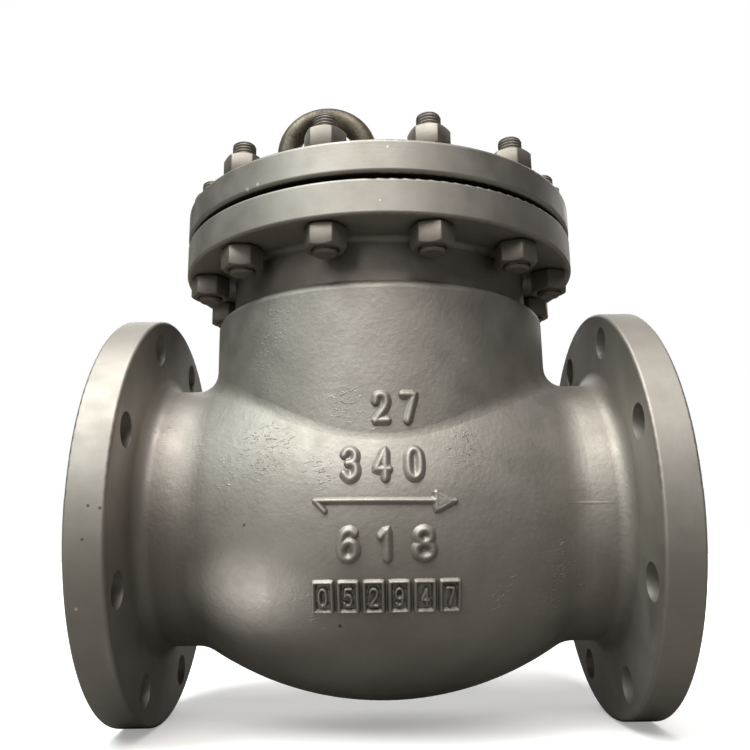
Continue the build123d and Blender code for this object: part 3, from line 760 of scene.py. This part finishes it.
def mesh_of_shells(name: str, shells: Sequence[Shell], closed_way_round: bool) -> bpy.types.Mesh:
    """Put several shells of rings into one mesh.

    Args:
        name: The mesh's name.
        shells: The shells, each a row of equal rings.
        closed_way_round: Whether each shell's last ring joins its first.

    Returns:
        The mesh.
    """
    vertices: list[Vector] = []
    faces: list[tuple[int, ...]] = []
    for rings in shells:
        more, joined = skin_of_rings(rings, closed_way_round, len(vertices))
        vertices += more
        faces += joined
    mesh = bpy.data.meshes.new(name)
    mesh.from_pydata(vertices, [], faces)
    return mesh


@dataclass
class ValveBody:
    """The cast body: paint on its outside, bare steel where a gasket or the fluid touches it."""

    casting: Casting = field(default_factory=Casting)
    paint: SilverPaint = field(default_factory=lambda: SilverPaint(
        "silver_grey_enamel_on_cast_steel", Coat.SAND_CAST, chips=(
            Chip((14.4 * MM, -140.0 * MM, -0.1 * MM), 0.9 * MM, DIRT),
            Chip((21.0 * MM, -140.0 * MM, -1.5 * MM), 0.9 * MM, DIRT),
            Chip((11.8 * MM, -138.8 * MM, -18.3 * MM), 0.8 * MM, DIRT),
            Chip((150.4 * MM, -102.5 * MM, -68.6 * MM), 1.2 * MM, DIRT),
            Chip((95.0 * MM, -108.6 * MM, -10.8 * MM), 0.9 * MM, DIRT),
            Chip((7.1 * MM, -128.6 * MM, -55.4 * MM), 0.9 * MM, PRIMER),
            Chip((177.5 * MM, -143.0 * MM, 176.1 * MM), 0.6 * MM, PRIMER),
        ), scars=(
            Scar((38.6 * MM, -58.4 * MM, 67.1 * MM), 12 * MM),
            Scar((315.7 * MM, -57.2 * MM, 68.2 * MM), 13 * MM),
            Scar((154.8 * MM, -117.0 * MM, 57.9 * MM), 13 * MM),
            Scar((106.4 * MM, -107.5 * MM, 34.0 * MM), 24 * MM),
            Scar((84.0 * MM, -98.0 * MM, 20.0 * MM), 13 * MM),
            Scar((140.0 * MM, -120.0 * MM, 18.0 * MM), 13 * MM),
            Scar((226.0 * MM, -117.0 * MM, 32.0 * MM), 15 * MM),
        ),
    ))
    # A real face's grooves are 0.8 mm apart, too fine for the picture, so they are drawn coarser.
    face_groove: float = 2.4 * MM

    def dress(self) -> bpy.types.Material:
        """Give the CAD body its painted, turned and bare surfaces.

        Returns:
            The body's material.
        """
        material, tree = new_material(self.paint.name)
        place = add_node(tree, "TexCoord").outputs["Object"]
        turned = [
            (self.casting.mask(tree, Region.FLANGE), ALONG_FLOW),
            (self.casting.mask(tree, Region.JOINT), UPWARD),
        ]
        painted = self.paint.coating(tree, place, turned)
        serrated = TurnedSteel("serrated_face", (0, 0, 0), ALONG_FLOW, ring_pitch=self.face_groove)
        faces = serrated.surface(tree)
        bare = BLASTED_CASTING.surface(tree)
        raised = self.casting.mask(tree, Region.RAISED_FACE)
        outside = add_node(tree, "MixShader", {0: raised, 1: painted, 2: faces})
        inside = self.casting.mask(tree, Region.INSIDE)
        whole = add_node(tree, "MixShader", {0: inside, 1: outside, 2: bare})
        add_node(tree, "OutputMaterial", {"Surface": whole})
        dress_node("body", material, self.casting.edges())
        return material

    def skin(self) -> BVHTree:
        """Find the body's surface, for what stands on it.

        Returns:
            A tree that rays can be cast at.
        """
        mesh = frame["nodes"]["body"].data
        places = [vertex.co for vertex in mesh.vertices]
        return BVHTree.FromPolygons(places, [face.vertices for face in mesh.polygons])

    def build(self) -> bpy.types.Material:
        """Dress the body and report it.

        Returns:
            The body's material, which the raised marks share.
        """
        material = self.dress()
        logging.info("body: painted, with bare gasket faces and bare walls inside")
        return material


@dataclass(frozen=True)
class Bead:
    """A soft ridge that follows the body's surface along a path in X and Z.

    Its foot sinks into the surface.  Its round ends are given by sections: how far each lies past
    the path's last point, in half widths, and how full it is.
    """

    width: float
    relief: float
    front: bool = True
    sink: float = 0.7 * MM
    step: float = 0.9 * MM
    fade: float = 0.0
    fade_start: float = 0.3
    clear_of_body: float = 400 * MM
    half_parts: int = 5
    spread: float = 0.62
    roundness: float = 0.7
    thinnest_end: float = 0.3
    round_end: tuple[Point, ...] = ((0.35, 0.94), (0.7, 0.72), (0.95, 0.25))

    def walk(self, path: Sequence[Point]) -> list[Point]:
        """Divide a path into even steps.

        Args:
            path: Its corner points.

        Returns:
            The points of the divided path.
        """
        walked: list[Point] = [path[0]]
        for (x0, z0), (x1, z1) in zip(path, path[1:]):
            parts = max(1, ceil(hypot(x1 - x0, z1 - z0) / self.step))
            walked += [
                (x0 + (x1 - x0) * i / parts, z0 + (z1 - z0) * i / parts) for i in range(1, parts + 1)
            ]
        return walked

    def rings(self, path: Sequence[Point], skin: BVHTree) -> Shell:
        """Sweep the bead's bell-shaped section along a path on the body.

        Args:
            path: The path's corner points.
            skin: The body's surface.

        Returns:
            The sections, from one round end to the other.
        """
        inward = Vector((0, 1, 0)) if self.front else Vector((0, -1, 0))
        seats: list[tuple[Vector, Vector]] = []
        for x, z in self.walk(path):
            hit, normal, _, _ = skin.ray_cast(Vector((x, 0, z)) - inward * self.clear_of_body, inward)
            seats.append((hit, normal if normal.dot(inward) < 0 else -normal))
        last = len(seats) - 1
        sections: list[tuple[int, float, float]] = []
        sections += [(0, -past, share) for past, share in reversed(self.round_end)]
        sections += [(number, 0.0, 1.0) for number in range(len(seats))]
        sections += [(last, past, share) for past, share in self.round_end]
        rings: Shell = []
        for index, ahead, share in sections:
            seat, normal = seats[index]
            forward = seats[min(index + 1, last)][0] - seats[max(index - 1, 0)][0]
            forward = (forward - normal * forward.dot(normal)).normalized()
            side = normal.cross(forward)
            middle = seat + forward * (ahead * self.width / 2)
            if self.fade:
                from_end = min(index, last - index) + self.fade_start
                share *= min(1.0, from_end * self.step / self.fade)
            ring: Ring = []
            for part in range(2 * self.half_parts + 1):
                across = part / self.half_parts - 1
                rise = self.relief * sqrt(share) * (0.5 + 0.5 * cos(pi * across)) ** self.roundness
                out = across * max(share, self.thinnest_end) * self.width * self.spread
                ring.append(middle + side * out + normal * rise)
            ring.append(ring[-1] - normal * self.sink)
            ring.append(ring[0] - normal * self.sink)
            rings.append(ring)
        return rings


@dataclass
class PartingLine:
    """The trace of a ridge along the outlet hub, where the two halves of the mould met."""

    reach: Point = (289 * MM, 317.5 * MM)
    width: float = 1.8 * MM
    relief: float = 0.13 * MM
    fade: float = 9 * MM

    def build(self, skin: BVHTree, material: bpy.types.Material) -> None:
        """Raise the line on the front and the back.

        Args:
            skin: The body's surface.
            material: The body's finish.
        """
        path = [(x, 0.0) for x in self.reach]
        traces = [Bead(self.width, self.relief, front, fade=self.fade) for front in (True, False)]
        mesh = mesh_of_shells("parting_line", [trace.rings(path, skin) for trace in traces], False)
        piece_from("parting_line", mesh, material, sharp_angle=70.0)
        logging.info("parting line: %d faces", len(mesh.polygons))


@dataclass(frozen=True)
class Stroke:
    """One bead of a character, in shares of the character's width and height."""

    points: tuple[Point, ...]
    bend: Bend = Bend.CURVED


# Numerals drawn as single strokes, as a pattern maker's loose characters are.
NUMERALS: dict[str, tuple[Stroke, ...]] = {
    "0": (Stroke((
        (0.5, 1), (0.9, 0.86), (1, 0.5), (0.9, 0.14), (0.5, 0), (0.1, 0.14), (0, 0.5), (0.1, 0.86), (0.5, 1),
    )),),
    "1": (Stroke(((0.2, 0.78), (0.58, 1), (0.58, 0)), Bend.STRAIGHT),),
    "2": (
        Stroke((
            (0.03, 0.74), (0.15, 0.94), (0.5, 1), (0.88, 0.92), (0.96, 0.7), (0.8, 0.48), (0.42, 0.24),
            (0.04, 0),
        )),
        Stroke(((0.04, 0), (1, 0)), Bend.STRAIGHT),
    ),
    "3": (
        Stroke((
            (0.04, 0.84), (0.25, 0.98), (0.6, 1), (0.92, 0.86), (0.88, 0.64), (0.62, 0.54), (0.36, 0.53),
        )),
        Stroke(((0.62, 0.54), (0.95, 0.42), (0.97, 0.17), (0.7, 0.01), (0.35, 0), (0.03, 0.16))),
    ),
    "4": (Stroke(((0.74, 0), (0.74, 1), (0, 0.3), (1, 0.3)), Bend.STRAIGHT),),
    "5": (
        Stroke(((0.92, 1), (0.14, 1), (0.08, 0.55)), Bend.STRAIGHT),
        Stroke((
            (0.08, 0.55), (0.4, 0.65), (0.76, 0.6), (0.97, 0.35), (0.84, 0.08), (0.48, 0), (0.2, 0.03),
            (0.02, 0.15),
        )),
    ),
    "6": (Stroke((
        (0.88, 0.9), (0.6, 1), (0.22, 0.88), (0.02, 0.5), (0.08, 0.16), (0.36, 0), (0.7, 0.02), (0.97, 0.22),
        (0.9, 0.48), (0.6, 0.6), (0.28, 0.54), (0.05, 0.36),
    )),),
    "7": (Stroke(((0.02, 1), (1, 1), (0.4, 0)), Bend.STRAIGHT),),
    "8": (
        Stroke(((0.5, 0.53), (0.12, 0.66), (0.12, 0.88), (0.5, 1), (0.88, 0.88), (0.88, 0.66), (0.5, 0.53))),
        Stroke(((0.5, 0.53), (0.04, 0.4), (0.04, 0.12), (0.5, 0), (0.96, 0.12), (0.96, 0.4), (0.5, 0.53))),
    ),
    "9": (Stroke((
        (0.12, 0.1), (0.4, 0), (0.78, 0.12), (0.98, 0.5), (0.92, 0.84), (0.64, 1), (0.3, 0.98), (0.03, 0.78),
        (0.1, 0.52), (0.4, 0.4), (0.72, 0.46), (0.95, 0.64),
    )),),
}


@dataclass(frozen=True)
class MarkRow:
    """A row of plain numerals on the body's front: its text, its place and its bead."""

    text: str
    left: float
    right: float
    low: float
    high: float
    gap: float
    bead: float
    boxed: bool = False


@dataclass
class CastMarks:
    """Raised numerals and the flow arrow, cast on the front of the body.

    Every stroke is a soft bead that follows the body's surface.
    """

    relief: float = 2.4 * MM
    voxel: float = 0.5 * MM
    smoothing: int = 3
    parts_per_bend: int = 6
    arrow_bead: float = 3.8 * MM
    rows: tuple[MarkRow, ...] = (
        MarkRow("27", 170.0 * MM, 198.5 * MM, 45.2 * MM, 66.0 * MM, 4.0 * MM, 5.4 * MM),
        MarkRow("340", 151.5 * MM, 201.0 * MM, 11.1 * MM, 32.9 * MM, 6.0 * MM, 5.4 * MM),
        MarkRow("618", 149.0 * MM, 206.5 * MM, -33.4 * MM, -12.6 * MM, 7.0 * MM, 5.4 * MM),
        MarkRow("052947", 136.0 * MM, 219.0 * MM, -59.9 * MM, -43.6 * MM, 3.9 * MM, 2.7 * MM, True),
    )

    def curve(self, stroke: Stroke) -> list[Point]:
        """Work out the points of one stroke, rounded where it bends softly.

        Args:
            stroke: The stroke.

        Returns:
            Its points, in shares of the character.
        """
        points = list(stroke.points)
        if stroke.bend is Bend.STRAIGHT:
            return points
        closed = points[0] == points[-1]
        before = points[-2] if closed else points[0]
        after = points[1] if closed else points[-1]
        padded = [before, *points, after]
        curved: list[Point] = []
        for a, b, c, d in zip(padded, padded[1:], padded[2:], padded[3:]):
            for part in range(self.parts_per_bend):
                t = part / self.parts_per_bend
                curved.append(tuple(
                    q + 0.5 * t * (r - p + t * (2 * p - 5 * q + 4 * r - s + t * (3 * q - p - 3 * r + s)))
                    for p, q, r, s in zip(a, b, c, d)
                ))
        return [*curved, points[-1]]

    def row_paths(self, row: MarkRow) -> list[tuple[list[Point], float]]:
        """Lay out one row of numerals.

        Args:
            row: The row.

        Returns:
            A list of paths in X and Z, each with the width of its bead.
        """
        width = (row.right - row.left - (len(row.text) - 1) * row.gap) / len(row.text)
        paths: list[tuple[list[Point], float]] = []
        for number, character in enumerate(row.text):
            left = row.left + number * (width + row.gap)
            box = (left, row.low, width, row.high - row.low)
            if row.boxed:
                x, z, w, h = box
                paths.append(([(x, z), (x + w, z), (x + w, z + h), (x, z + h), (x, z)], row.bead))
                box = (x + 0.3 * w, z + 0.22 * h, 0.4 * w, 0.56 * h)
            inset = 0.0 if row.boxed else row.bead / 2
            for stroke in NUMERALS[character]:
                paths.append(([
                    (box[0] + inset + u * (box[2] - 2 * inset), box[1] + inset + v * (box[3] - 2 * inset))
                    for u, v in self.curve(stroke)
                ], row.bead * (0.85 if row.boxed else 1.0)))
        return paths

    def arrow_paths(self) -> list[tuple[list[Point], float]]:
        """Lay out the flow arrow, with its solid head and the half barb at its tail.

        Returns:
            A list of paths, each with the width of its bead.
        """
        tail, tip = (137.5 * MM, 1.6 * MM), (217.5 * MM, 0.5 * MM)
        outer = [(206.8 * MM, 4.9 * MM), (215.9 * MM, 0.4 * MM), (206.8 * MM, -4.2 * MM)]
        inner = [(208.7 * MM, 2.0 * MM), (212.4 * MM, 0.4 * MM), (208.7 * MM, -1.3 * MM)]
        return [
            ([tail, tip], self.arrow_bead),
            ([*outer, outer[0]], self.arrow_bead * 1.2),
            ([*inner, inner[0]], self.arrow_bead * 1.6),
            ([tail, (143.2 * MM, -4.4 * MM)], self.arrow_bead * 0.85),
        ]

    def build(self, skin: BVHTree, material: bpy.types.Material) -> None:
        """Cast the marks on the body.

        Args:
            skin: The body's surface.
            material: The body's finish.
        """
        paths = [path for row in self.rows for path in self.row_paths(row)]
        paths += self.arrow_paths()
        strokes = [Bead(width, self.relief).rings(path, skin) for path, width in paths]
        mesh = remeshed(mesh_of_shells("beads", strokes, False), self.voxel, self.smoothing)
        piece_from("cast_marks", mesh, material, sharp_angle=180.0)
        logging.info("cast marks: %d strokes, %d faces", len(paths), len(mesh.polygons))


@dataclass(frozen=True)
class HexNut:
    """A chamfered hexagon nut, its edges softened by paint."""

    across_flats: float = 24 * MM
    height: float = 14.8 * MM
    bore: float = 8.05 * MM
    bore_chamfer: float = 0.9 * MM
    crown_share: float = 0.95
    crown_angle: float = 30.0
    corner_radius: float = 0.9 * MM
    edge_break: float = 0.35 * MM
    face_rim: float = 0.4 * MM
    parts_per_flat: int = 8

    def outline(self) -> list[Point]:
        """Trace the rounded hexagon.

        Returns:
            Its points, anticlockwise.
        """
        inner = self.across_flats / 2 - self.corner_radius
        points: list[Point] = []
        for corner in range(6):
            angle = radians(60 * corner)
            x, y = inner / cos(pi / 6) * cos(angle), inner / cos(pi / 6) * sin(angle)
            for turn in (-30, -10, 10, 30):
                lean = angle + radians(turn)
                points.append((x + self.corner_radius * cos(lean), y + self.corner_radius * sin(lean)))
            after = radians(60 * corner + 60)
            flat = radians(60 * corner + 30)
            x0, y0 = points[-1]
            x1 = inner / cos(pi / 6) * cos(after) + self.corner_radius * cos(flat)
            y1 = inner / cos(pi / 6) * sin(after) + self.corner_radius * sin(flat)
            parts = self.parts_per_flat
            points += [(x0 + (x1 - x0) * i / parts, y0 + (y1 - y0) * i / parts) for i in range(1, parts)]
        return points

    def rings(self) -> Shell:
        """Build the nut's rings, from its bore round its outside and back.

        Returns:
            The rings, standing on the XY plane.
        """
        outline = self.outline()
        face = self.crown_share * self.across_flats / 2
        slope = tan(radians(self.crown_angle))
        spokes = [(x / hypot(x, y), y / hypot(x, y)) for x, y in outline]
        lower: Shell = []
        for radius, rise in (
            (self.bore, self.bore_chamfer), (self.bore + self.bore_chamfer, 0.0),
            (face - self.face_rim, 0.0), (face, 0.0),
        ):
            lower.append([Vector((radius * u, radius * v, rise)) for u, v in spokes])
        near_edge: Ring = []
        edge: Ring = []
        for x, y in outline:
            drop = max(0.0, hypot(x, y) - face) * slope
            inset = 1 - self.edge_break / hypot(x, y)
            near_edge.append(Vector((x * inset, y * inset, max(0.0, drop - self.edge_break * slope))))
            edge.append(Vector((x, y, drop + self.edge_break)))
        lower += [near_edge, edge]
        upper = [[Vector((p.x, p.y, self.height - p.z)) for p in ring] for ring in reversed(lower)]
        return lower + upper


@dataclass(frozen=True)
class ThreadedStud:
    """A stud with a metric thread at both ends and a plain middle."""

    radius: float = 8 * MM
    pitch: float = 2 * MM
    thread_depth: float = 0.8 * MM
    end_chamfer: float = 1.5 * MM
    upper_thread: float = 28 * MM
    lower_thread: float = 20 * MM
    lower_depth_share: float = 0.45
    rings_per_turn: int = 5
    around: int = 24

    def radius_at(self, below: float, above: float, turn: float) -> float:
        """Work out the stud's radius at one point.

        Args:
            below: Height over the stud's lower end.
            above: Depth under its upper end.
            turn: Share of a full turn.

        Returns:
            The radius there.
        """
        phase = (below / self.pitch - turn) % 1.0
        groove = 1 - abs(2 * phase - 1)
        depth = 0.0
        if above < self.upper_thread:
            depth = self.thread_depth * groove
        elif below < self.lower_thread:
            depth = self.thread_depth * self.lower_depth_share * groove
        blunt = max(0.0, self.end_chamfer - min(below, above))
        return min(self.radius - depth, self.radius - blunt)

    def rings(self, base: float, top: float) -> Shell:
        """Build the stud's rings.

        Args:
            base: Height of its lower end.
            top: Height of its upper end.

        Returns:
            The rings, about the Z axis.
        """
        length = top - base
        step = self.pitch / self.rings_per_turn
        threads = [i * step for i in range(floor(self.lower_thread / step) + 1)]
        threads += [length - i * step for i in range(floor(self.upper_thread / step), -1, -1)]
        rings: Shell = []
        for below in threads:
            ring: Ring = []
            for part in range(self.around):
                turn = part / self.around
                radius = self.radius_at(below, length - below, turn)
                angle = 2 * pi * turn
                ring.append(Vector((radius * cos(angle), radius * sin(angle), base + below)))
            rings.append(ring)
        return rings


@dataclass
class CoverJoint:
    """The cover with its twelve studs, a nut above and a nut below on each.

    Angles are in degrees.  Each stud's nuts are turned as the spanner left them.
    """

    stud_circle: float = 126.5 * MM
    first_stud: float = 15.0
    turns: tuple[float, ...] = (12, 34, 52, 7, 23, 44, 0.5, 2.5, 50.4, 49.9, 39.1, 18)
    nut: HexNut = field(default_factory=HexNut)
    stud: ThreadedStud = field(default_factory=ThreadedStud)
    paint: SilverPaint = field(default_factory=lambda: SilverPaint(
        "silver_grey_enamel_on_fasteners", Coat.FORGED, lit_colour="#948E86", worn_colour="#89837B",
        # Painted shade in the fasteners' creases: a lighter shade colour and a short reach.
        painted_shade_colour="#6A645B", painted_shade_reach=3 * MM,
    ))
    plate_paint: SilverPaint = field(default_factory=lambda: SilverPaint(
        "silver_grey_enamel_on_turned_steel", Coat.TURNED, roughness=0.55, chips=(
            Chip((94.2 * MM, -116.8 * MM, 196.8 * MM), 1.3 * MM, PRIMER),
            Chip((101.2 * MM, -121.6 * MM, 198.3 * MM), 1.1 * MM, PRIMER),
            Chip((182.6 * MM, -142.9 * MM, 210.8 * MM), 0.7 * MM, PRIMER),
        ),
    ))
    cover_radius: float = 143 * MM
    cover_edge: float = 2.5 * MM

    def places(self) -> list[Point]:
        """Find the studs' axes.

        Returns:
            Their places in X and Y.
        """
        count = len(self.turns)
        angles = [radians(self.first_stud + 360 / count * number) for number in range(count)]
        return [(FLOW_MIDDLE + self.stud_circle * cos(a), self.stud_circle * sin(a)) for a in angles]

    def ring_of_nuts(self, name: str, node: str, material: bpy.types.Material) -> None:
        """Build one nut on every stud, in place of a CAD node.

        Args:
            name: The piece's name.
            node: The CAD node that it stands for.
            material: The nuts' finish.
        """
        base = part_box(node)[0].z
        nuts: list[Shell] = []
        for (x, y), turn in zip(self.places(), self.turns):
            place = Matrix.Translation((x, y, base)) @ Matrix.Rotation(radians(turn), 4, "Z")
            nuts.append([[place @ p for p in ring] for ring in self.nut.rings()])
        mesh = mesh_of_shells(name, nuts, True)
        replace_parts(piece_from(name, mesh, material, sharp_angle=50.0), node)
        logging.info("%s: %d nuts", name, len(self.turns))

    def studs(self, material: bpy.types.Material) -> None:
        """Build the threaded studs, in place of the plain CAD ones.

        Args:
            material: The studs' finish.
        """
        low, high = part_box("cover_studs")
        studs: list[Shell] = []
        for x, y in self.places():
            place = Matrix.Translation((x, y, 0))
            studs.append([[place @ p for p in ring] for ring in self.stud.rings(low.z, high.z)])
        mesh = mesh_of_shells("threaded_studs", studs, False)
        piece = piece_from("threaded_studs", mesh, material, sharp_angle=36.0)
        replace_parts(piece, "cover_studs")
        logging.info("threaded studs: %d", len(self.turns))

    def build(self) -> None:
        """Build the fasteners and dress the cover and its gasket."""
        fastener = self.paint.build()
        self.ring_of_nuts("upper_nuts", "cover_nuts_upper", fastener)
        self.ring_of_nuts("lower_nuts", "cover_nuts_lower", fastener)
        self.studs(fastener)
        low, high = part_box("cover")
        ring, edge = self.cover_radius - self.cover_edge, self.cover_edge
        rim = (Rounding(ring, low.z + edge, edge), Rounding(ring, high.z - edge, edge))
        edges = RingEdges(UPWARD, (FLOW_MIDDLE, 0.0, 0.0), False, rim)
        dress_node("cover", self.plate_paint.build(UPWARD), (edges,))
        dress_node("cover_gasket", GRAPHITE.build())
        logging.info("cover: painted plate over a graphite gasket")


@dataclass
class LiftingEyes:
    """The two forged eyebolts on the cover."""

    voxel: float = 1.1 * MM
    smoothing: int = 6
    nodes: tuple[str, ...] = ("lifting_eyebolt_front", "lifting_eyebolt_rear")

    def build(self) -> None:
        """Fuse each ring with its collar and give it the soft edges of a forging."""
        material = FORGED_BLACK.build()
        for node in self.nodes:
            mesh = remeshed(frame["nodes"][node].data.copy(), self.voxel, self.smoothing)
            name = node.replace("lifting", "forged")
            piece = piece_from(name, mesh, material, sharp_angle=180.0)
            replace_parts(piece, node)
            logging.info("%s: %d faces", piece.name, len(mesh.polygons))


@dataclass
class Clapper:
    """What moves inside: the disc with its nut and the arm, and the parts that carry them."""

    seat_centre: Triple = (96.4 * MM, 0.0, 0.0)
    seat_axis: Triple = (cos(radians(5)), 0.0, sin(radians(5)))
    pin_centre: Triple = (104.2 * MM, 0.0, 106.1 * MM)
    bare_castings: tuple[str, ...] = ("hinge_arm", "hinge_bracket")
    wires: tuple[str, ...] = ("disc_split_pin", "hinge_pin_split_pins")
    turned_about_seat: tuple[str, ...] = ("disc", "disc_washer", "disc_nut")
    turned_about_pin: tuple[str, ...] = (
        "hinge_pin", "hinge_pin_washers", "bracket_bolts", "bracket_lock_washers",
    )

    def build(self) -> None:
        """Dress every CAD node of the flap and its hinge."""
        about_seat = TurnedSteel("turned_stainless_steel", self.seat_centre, self.seat_axis)
        seat = replace(about_seat, name="lapped_stainless_seat", roughness=0.22, ring_pitch=0.6 * MM)
        about_pin = TurnedSteel("turned_bright_steel", self.pin_centre, SIDEWAYS, ring_pitch=0.5 * MM)
        finishes: dict[tuple[str, ...], bpy.types.Material] = {
            ("seat_ring",): seat.build(), ("arm_bushing",): BRONZE.build(),
        }
        finishes[self.turned_about_seat] = about_seat.build()
        finishes[self.turned_about_pin] = about_pin.build()
        finishes[self.bare_castings] = BLASTED_CASTING.build()
        finishes[self.wires] = DRAWN_WIRE.build()
        for nodes, material in finishes.items():
            for node in nodes:
                dress_node(node, material)
                logging.info("%s: %s", node, material.name)


@dataclass(frozen=True)
class PhotoCamera:
    """A camera near the floor in front of the valve, tipped up at it.

    The lens and the sensor are in millimetres and the angles in degrees.
    """

    place: Triple = (0.1755, -0.5790, -0.0269)
    lens: float = 38.06
    sensor: float = 36.0
    pitch: float = 12.53
    yaw: float = -0.33
    roll: float = -0.87

    def build(self) -> None:
        """Set the camera up and make it the scene's own."""
        data = bpy.data.cameras.new("photo_camera")
        data.lens = self.lens
        data.sensor_width = self.sensor
        data.clip_start = 10 * MM
        camera = bpy.data.objects.new("photo_camera", data)
        aside = Matrix.Rotation(radians(-self.yaw), 4, "Z")
        tip = Matrix.Rotation(pi / 2 + radians(self.pitch), 4, "X")
        lean = Matrix.Rotation(radians(self.roll), 4, "Z")
        camera.matrix_world = Matrix.Translation(self.place) @ aside @ tip @ lean
        bpy.context.scene.collection.objects.link(camera)
        bpy.context.scene.camera = camera
        logging.info("camera: lens %.1f mm", self.lens)


@dataclass(frozen=True)
class SoftSun:
    """One window's light: so far away that it falls evenly, so wide that its shadows are soft.

    Its rise over the floor, its turn to the right of the camera and its softness are in degrees.
    """

    name: str
    rise: float
    turn: float
    strength: float
    colour: str = WHITE
    softness: float = 30.0

    def build(self) -> None:
        """Hang the light."""
        data = bpy.data.lights.new(self.name, "SUN")
        data.color = linear(self.colour)[:3]
        data.energy = self.strength
        data.angle = radians(self.softness)
        light = bpy.data.objects.new(self.name, data)
        rise, turn = radians(self.rise), radians(self.turn)
        towards = Vector((sin(turn) * cos(rise), -cos(turn) * cos(rise), sin(rise)))
        light.rotation_euler = towards.to_track_quat("Z", "Y").to_euler()
        bpy.context.scene.collection.objects.link(light)


@dataclass(frozen=True)
class LowSpot:
    """A small pool of light from the floor on the left, as a bright patch of it throws light back.

    Its power is in watts and the width of its cone in degrees.
    """

    place: Triple = (0.006, -0.150, -0.134)
    aim: Triple = (0.103, -0.098, -0.052)
    radius: float = 22 * MM
    power: float = 0.5
    cone: float = 38.0

    def build(self) -> None:
        """Set the light up."""
        data = bpy.data.lights.new("low_spot", "SPOT")
        data.energy = self.power
        data.shadow_soft_size = self.radius
        data.spot_size = radians(self.cone)
        data.spot_blend = 1.0
        light = bpy.data.objects.new("low_spot", data)
        light.visible_camera = False
        light.location = self.place
        light.rotation_euler = (Vector(self.aim) - light.location).to_track_quat("-Z", "Y").to_euler()
        bpy.context.scene.collection.objects.link(light)


@dataclass
class Studio:
    """A pale floor in a white room, lit from above and from the left."""

    floor_z: float = -140 * MM
    floor_half: float = 12.0
    floor_colour: str = "#F2F1EE"
    floor_haze: str = "#F6F5F3"
    floor_glow: float = 0.3
    bounce_colour: str = "#6E6C69"
    room_light: float = 0.035
    suns: tuple[SoftSun, ...] = (
        SoftSun("key_window", 52.0, -45.0, 2.4, "#F3FFFC"),
        SoftSun("high_window", 74.0, -14.0, 1.85, "#FFFBF9"),
        SoftSun("front_window", 46.0, 3.0, 1.5, "#FFFAF8"),
        SoftSun("low_window", 18.0, -30.0, 0.55, "#FFFAF8"),
        SoftSun("back_window", 34.0, -168.0, 0.8),
        SoftSun("far_window", 30.0, 146.0, 0.6),
    )
    low_spot: LowSpot = field(default_factory=LowSpot)

    def floor(self) -> None:
        """Lay the floor under the flanges."""
        half = self.floor_half
        mesh = bpy.data.meshes.new("studio_floor")
        corners = [(-half, -half, 0), (half, -half, 0), (half, half, 0), (-half, half, 0)]
        mesh.from_pydata(corners, [], [(0, 1, 2, 3)])
        floor = bpy.data.objects.new("studio_floor", mesh)
        floor.location = (FLOW_MIDDLE, 0, self.floor_z)
        material, tree = new_material("pale_studio_floor")
        place = add_node(tree, "TexCoord").outputs["Object"]
        haze = add_node(tree, "TexNoise", {"Vector": place, "Scale": 3.0, "Detail": 2.0})
        tone = blend_colours(tree, haze, linear(self.floor_colour), linear(self.floor_haze))
        paper = add_node(tree, "BsdfPrincipled", {"Base Color": tone, "Roughness": 0.9})
        glow = add_node(tree, "Emission", {"Color": linear(WHITE), "Strength": self.floor_glow})
        pale = add_node(tree, "AddShader", {0: paper, 1: glow})
        dark = add_node(tree, "BsdfDiffuse", {"Color": linear(self.bounce_colour)})
        seen = add_node(tree, "LightPath").outputs["Is Camera Ray"]
        surface = add_node(tree, "MixShader", {0: seen, 1: dark, 2: pale})
        add_node(tree, "OutputMaterial", {"Surface": surface})
        mesh.materials.append(material)
        bpy.context.scene.collection.objects.link(floor)

    def room(self) -> None:
        """Make the room white to the camera and dimmer as a light."""
        world = bpy.data.worlds.new("white_room")
        world.use_nodes = True
        tree = world.node_tree
        tree.nodes.clear()
        seen = add_node(tree, "LightPath").outputs["Is Camera Ray"]
        dim = add_node(tree, "Background", {"Color": linear(WHITE), "Strength": self.room_light})
        white = add_node(tree, "Background", {"Color": linear(WHITE), "Strength": 1.0})
        surface = add_node(tree, "MixShader", {0: seen, 1: dim, 2: white})
        add_node(tree, "OutputWorld", {"Surface": surface})
        bpy.context.scene.world = world

    def build(self) -> None:
        """Lay the floor, light the room and set plain picture tones."""
        self.floor()
        self.room()
        for sun in self.suns:
            sun.build()
        self.low_spot.build()
        bpy.context.scene.view_settings.view_transform = "Standard"
        logging.info("studio: %d windows and a low spot", len(self.suns))


def main() -> None:
    """Dress the valve, piece by piece, and set up its picture."""
    logging.basicConfig(level=logging.INFO, format="%(message)s")
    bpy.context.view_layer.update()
    PhotoCamera().build()
    body = ValveBody()
    paint = body.build()
    skin = body.skin()
    CastMarks().build(skin, paint)
    PartingLine().build(skin, paint)
    CoverJoint().build()
    LiftingEyes().build()
    Clapper().build()
    Studio().build()


if __name__ == "__main__":
    main()
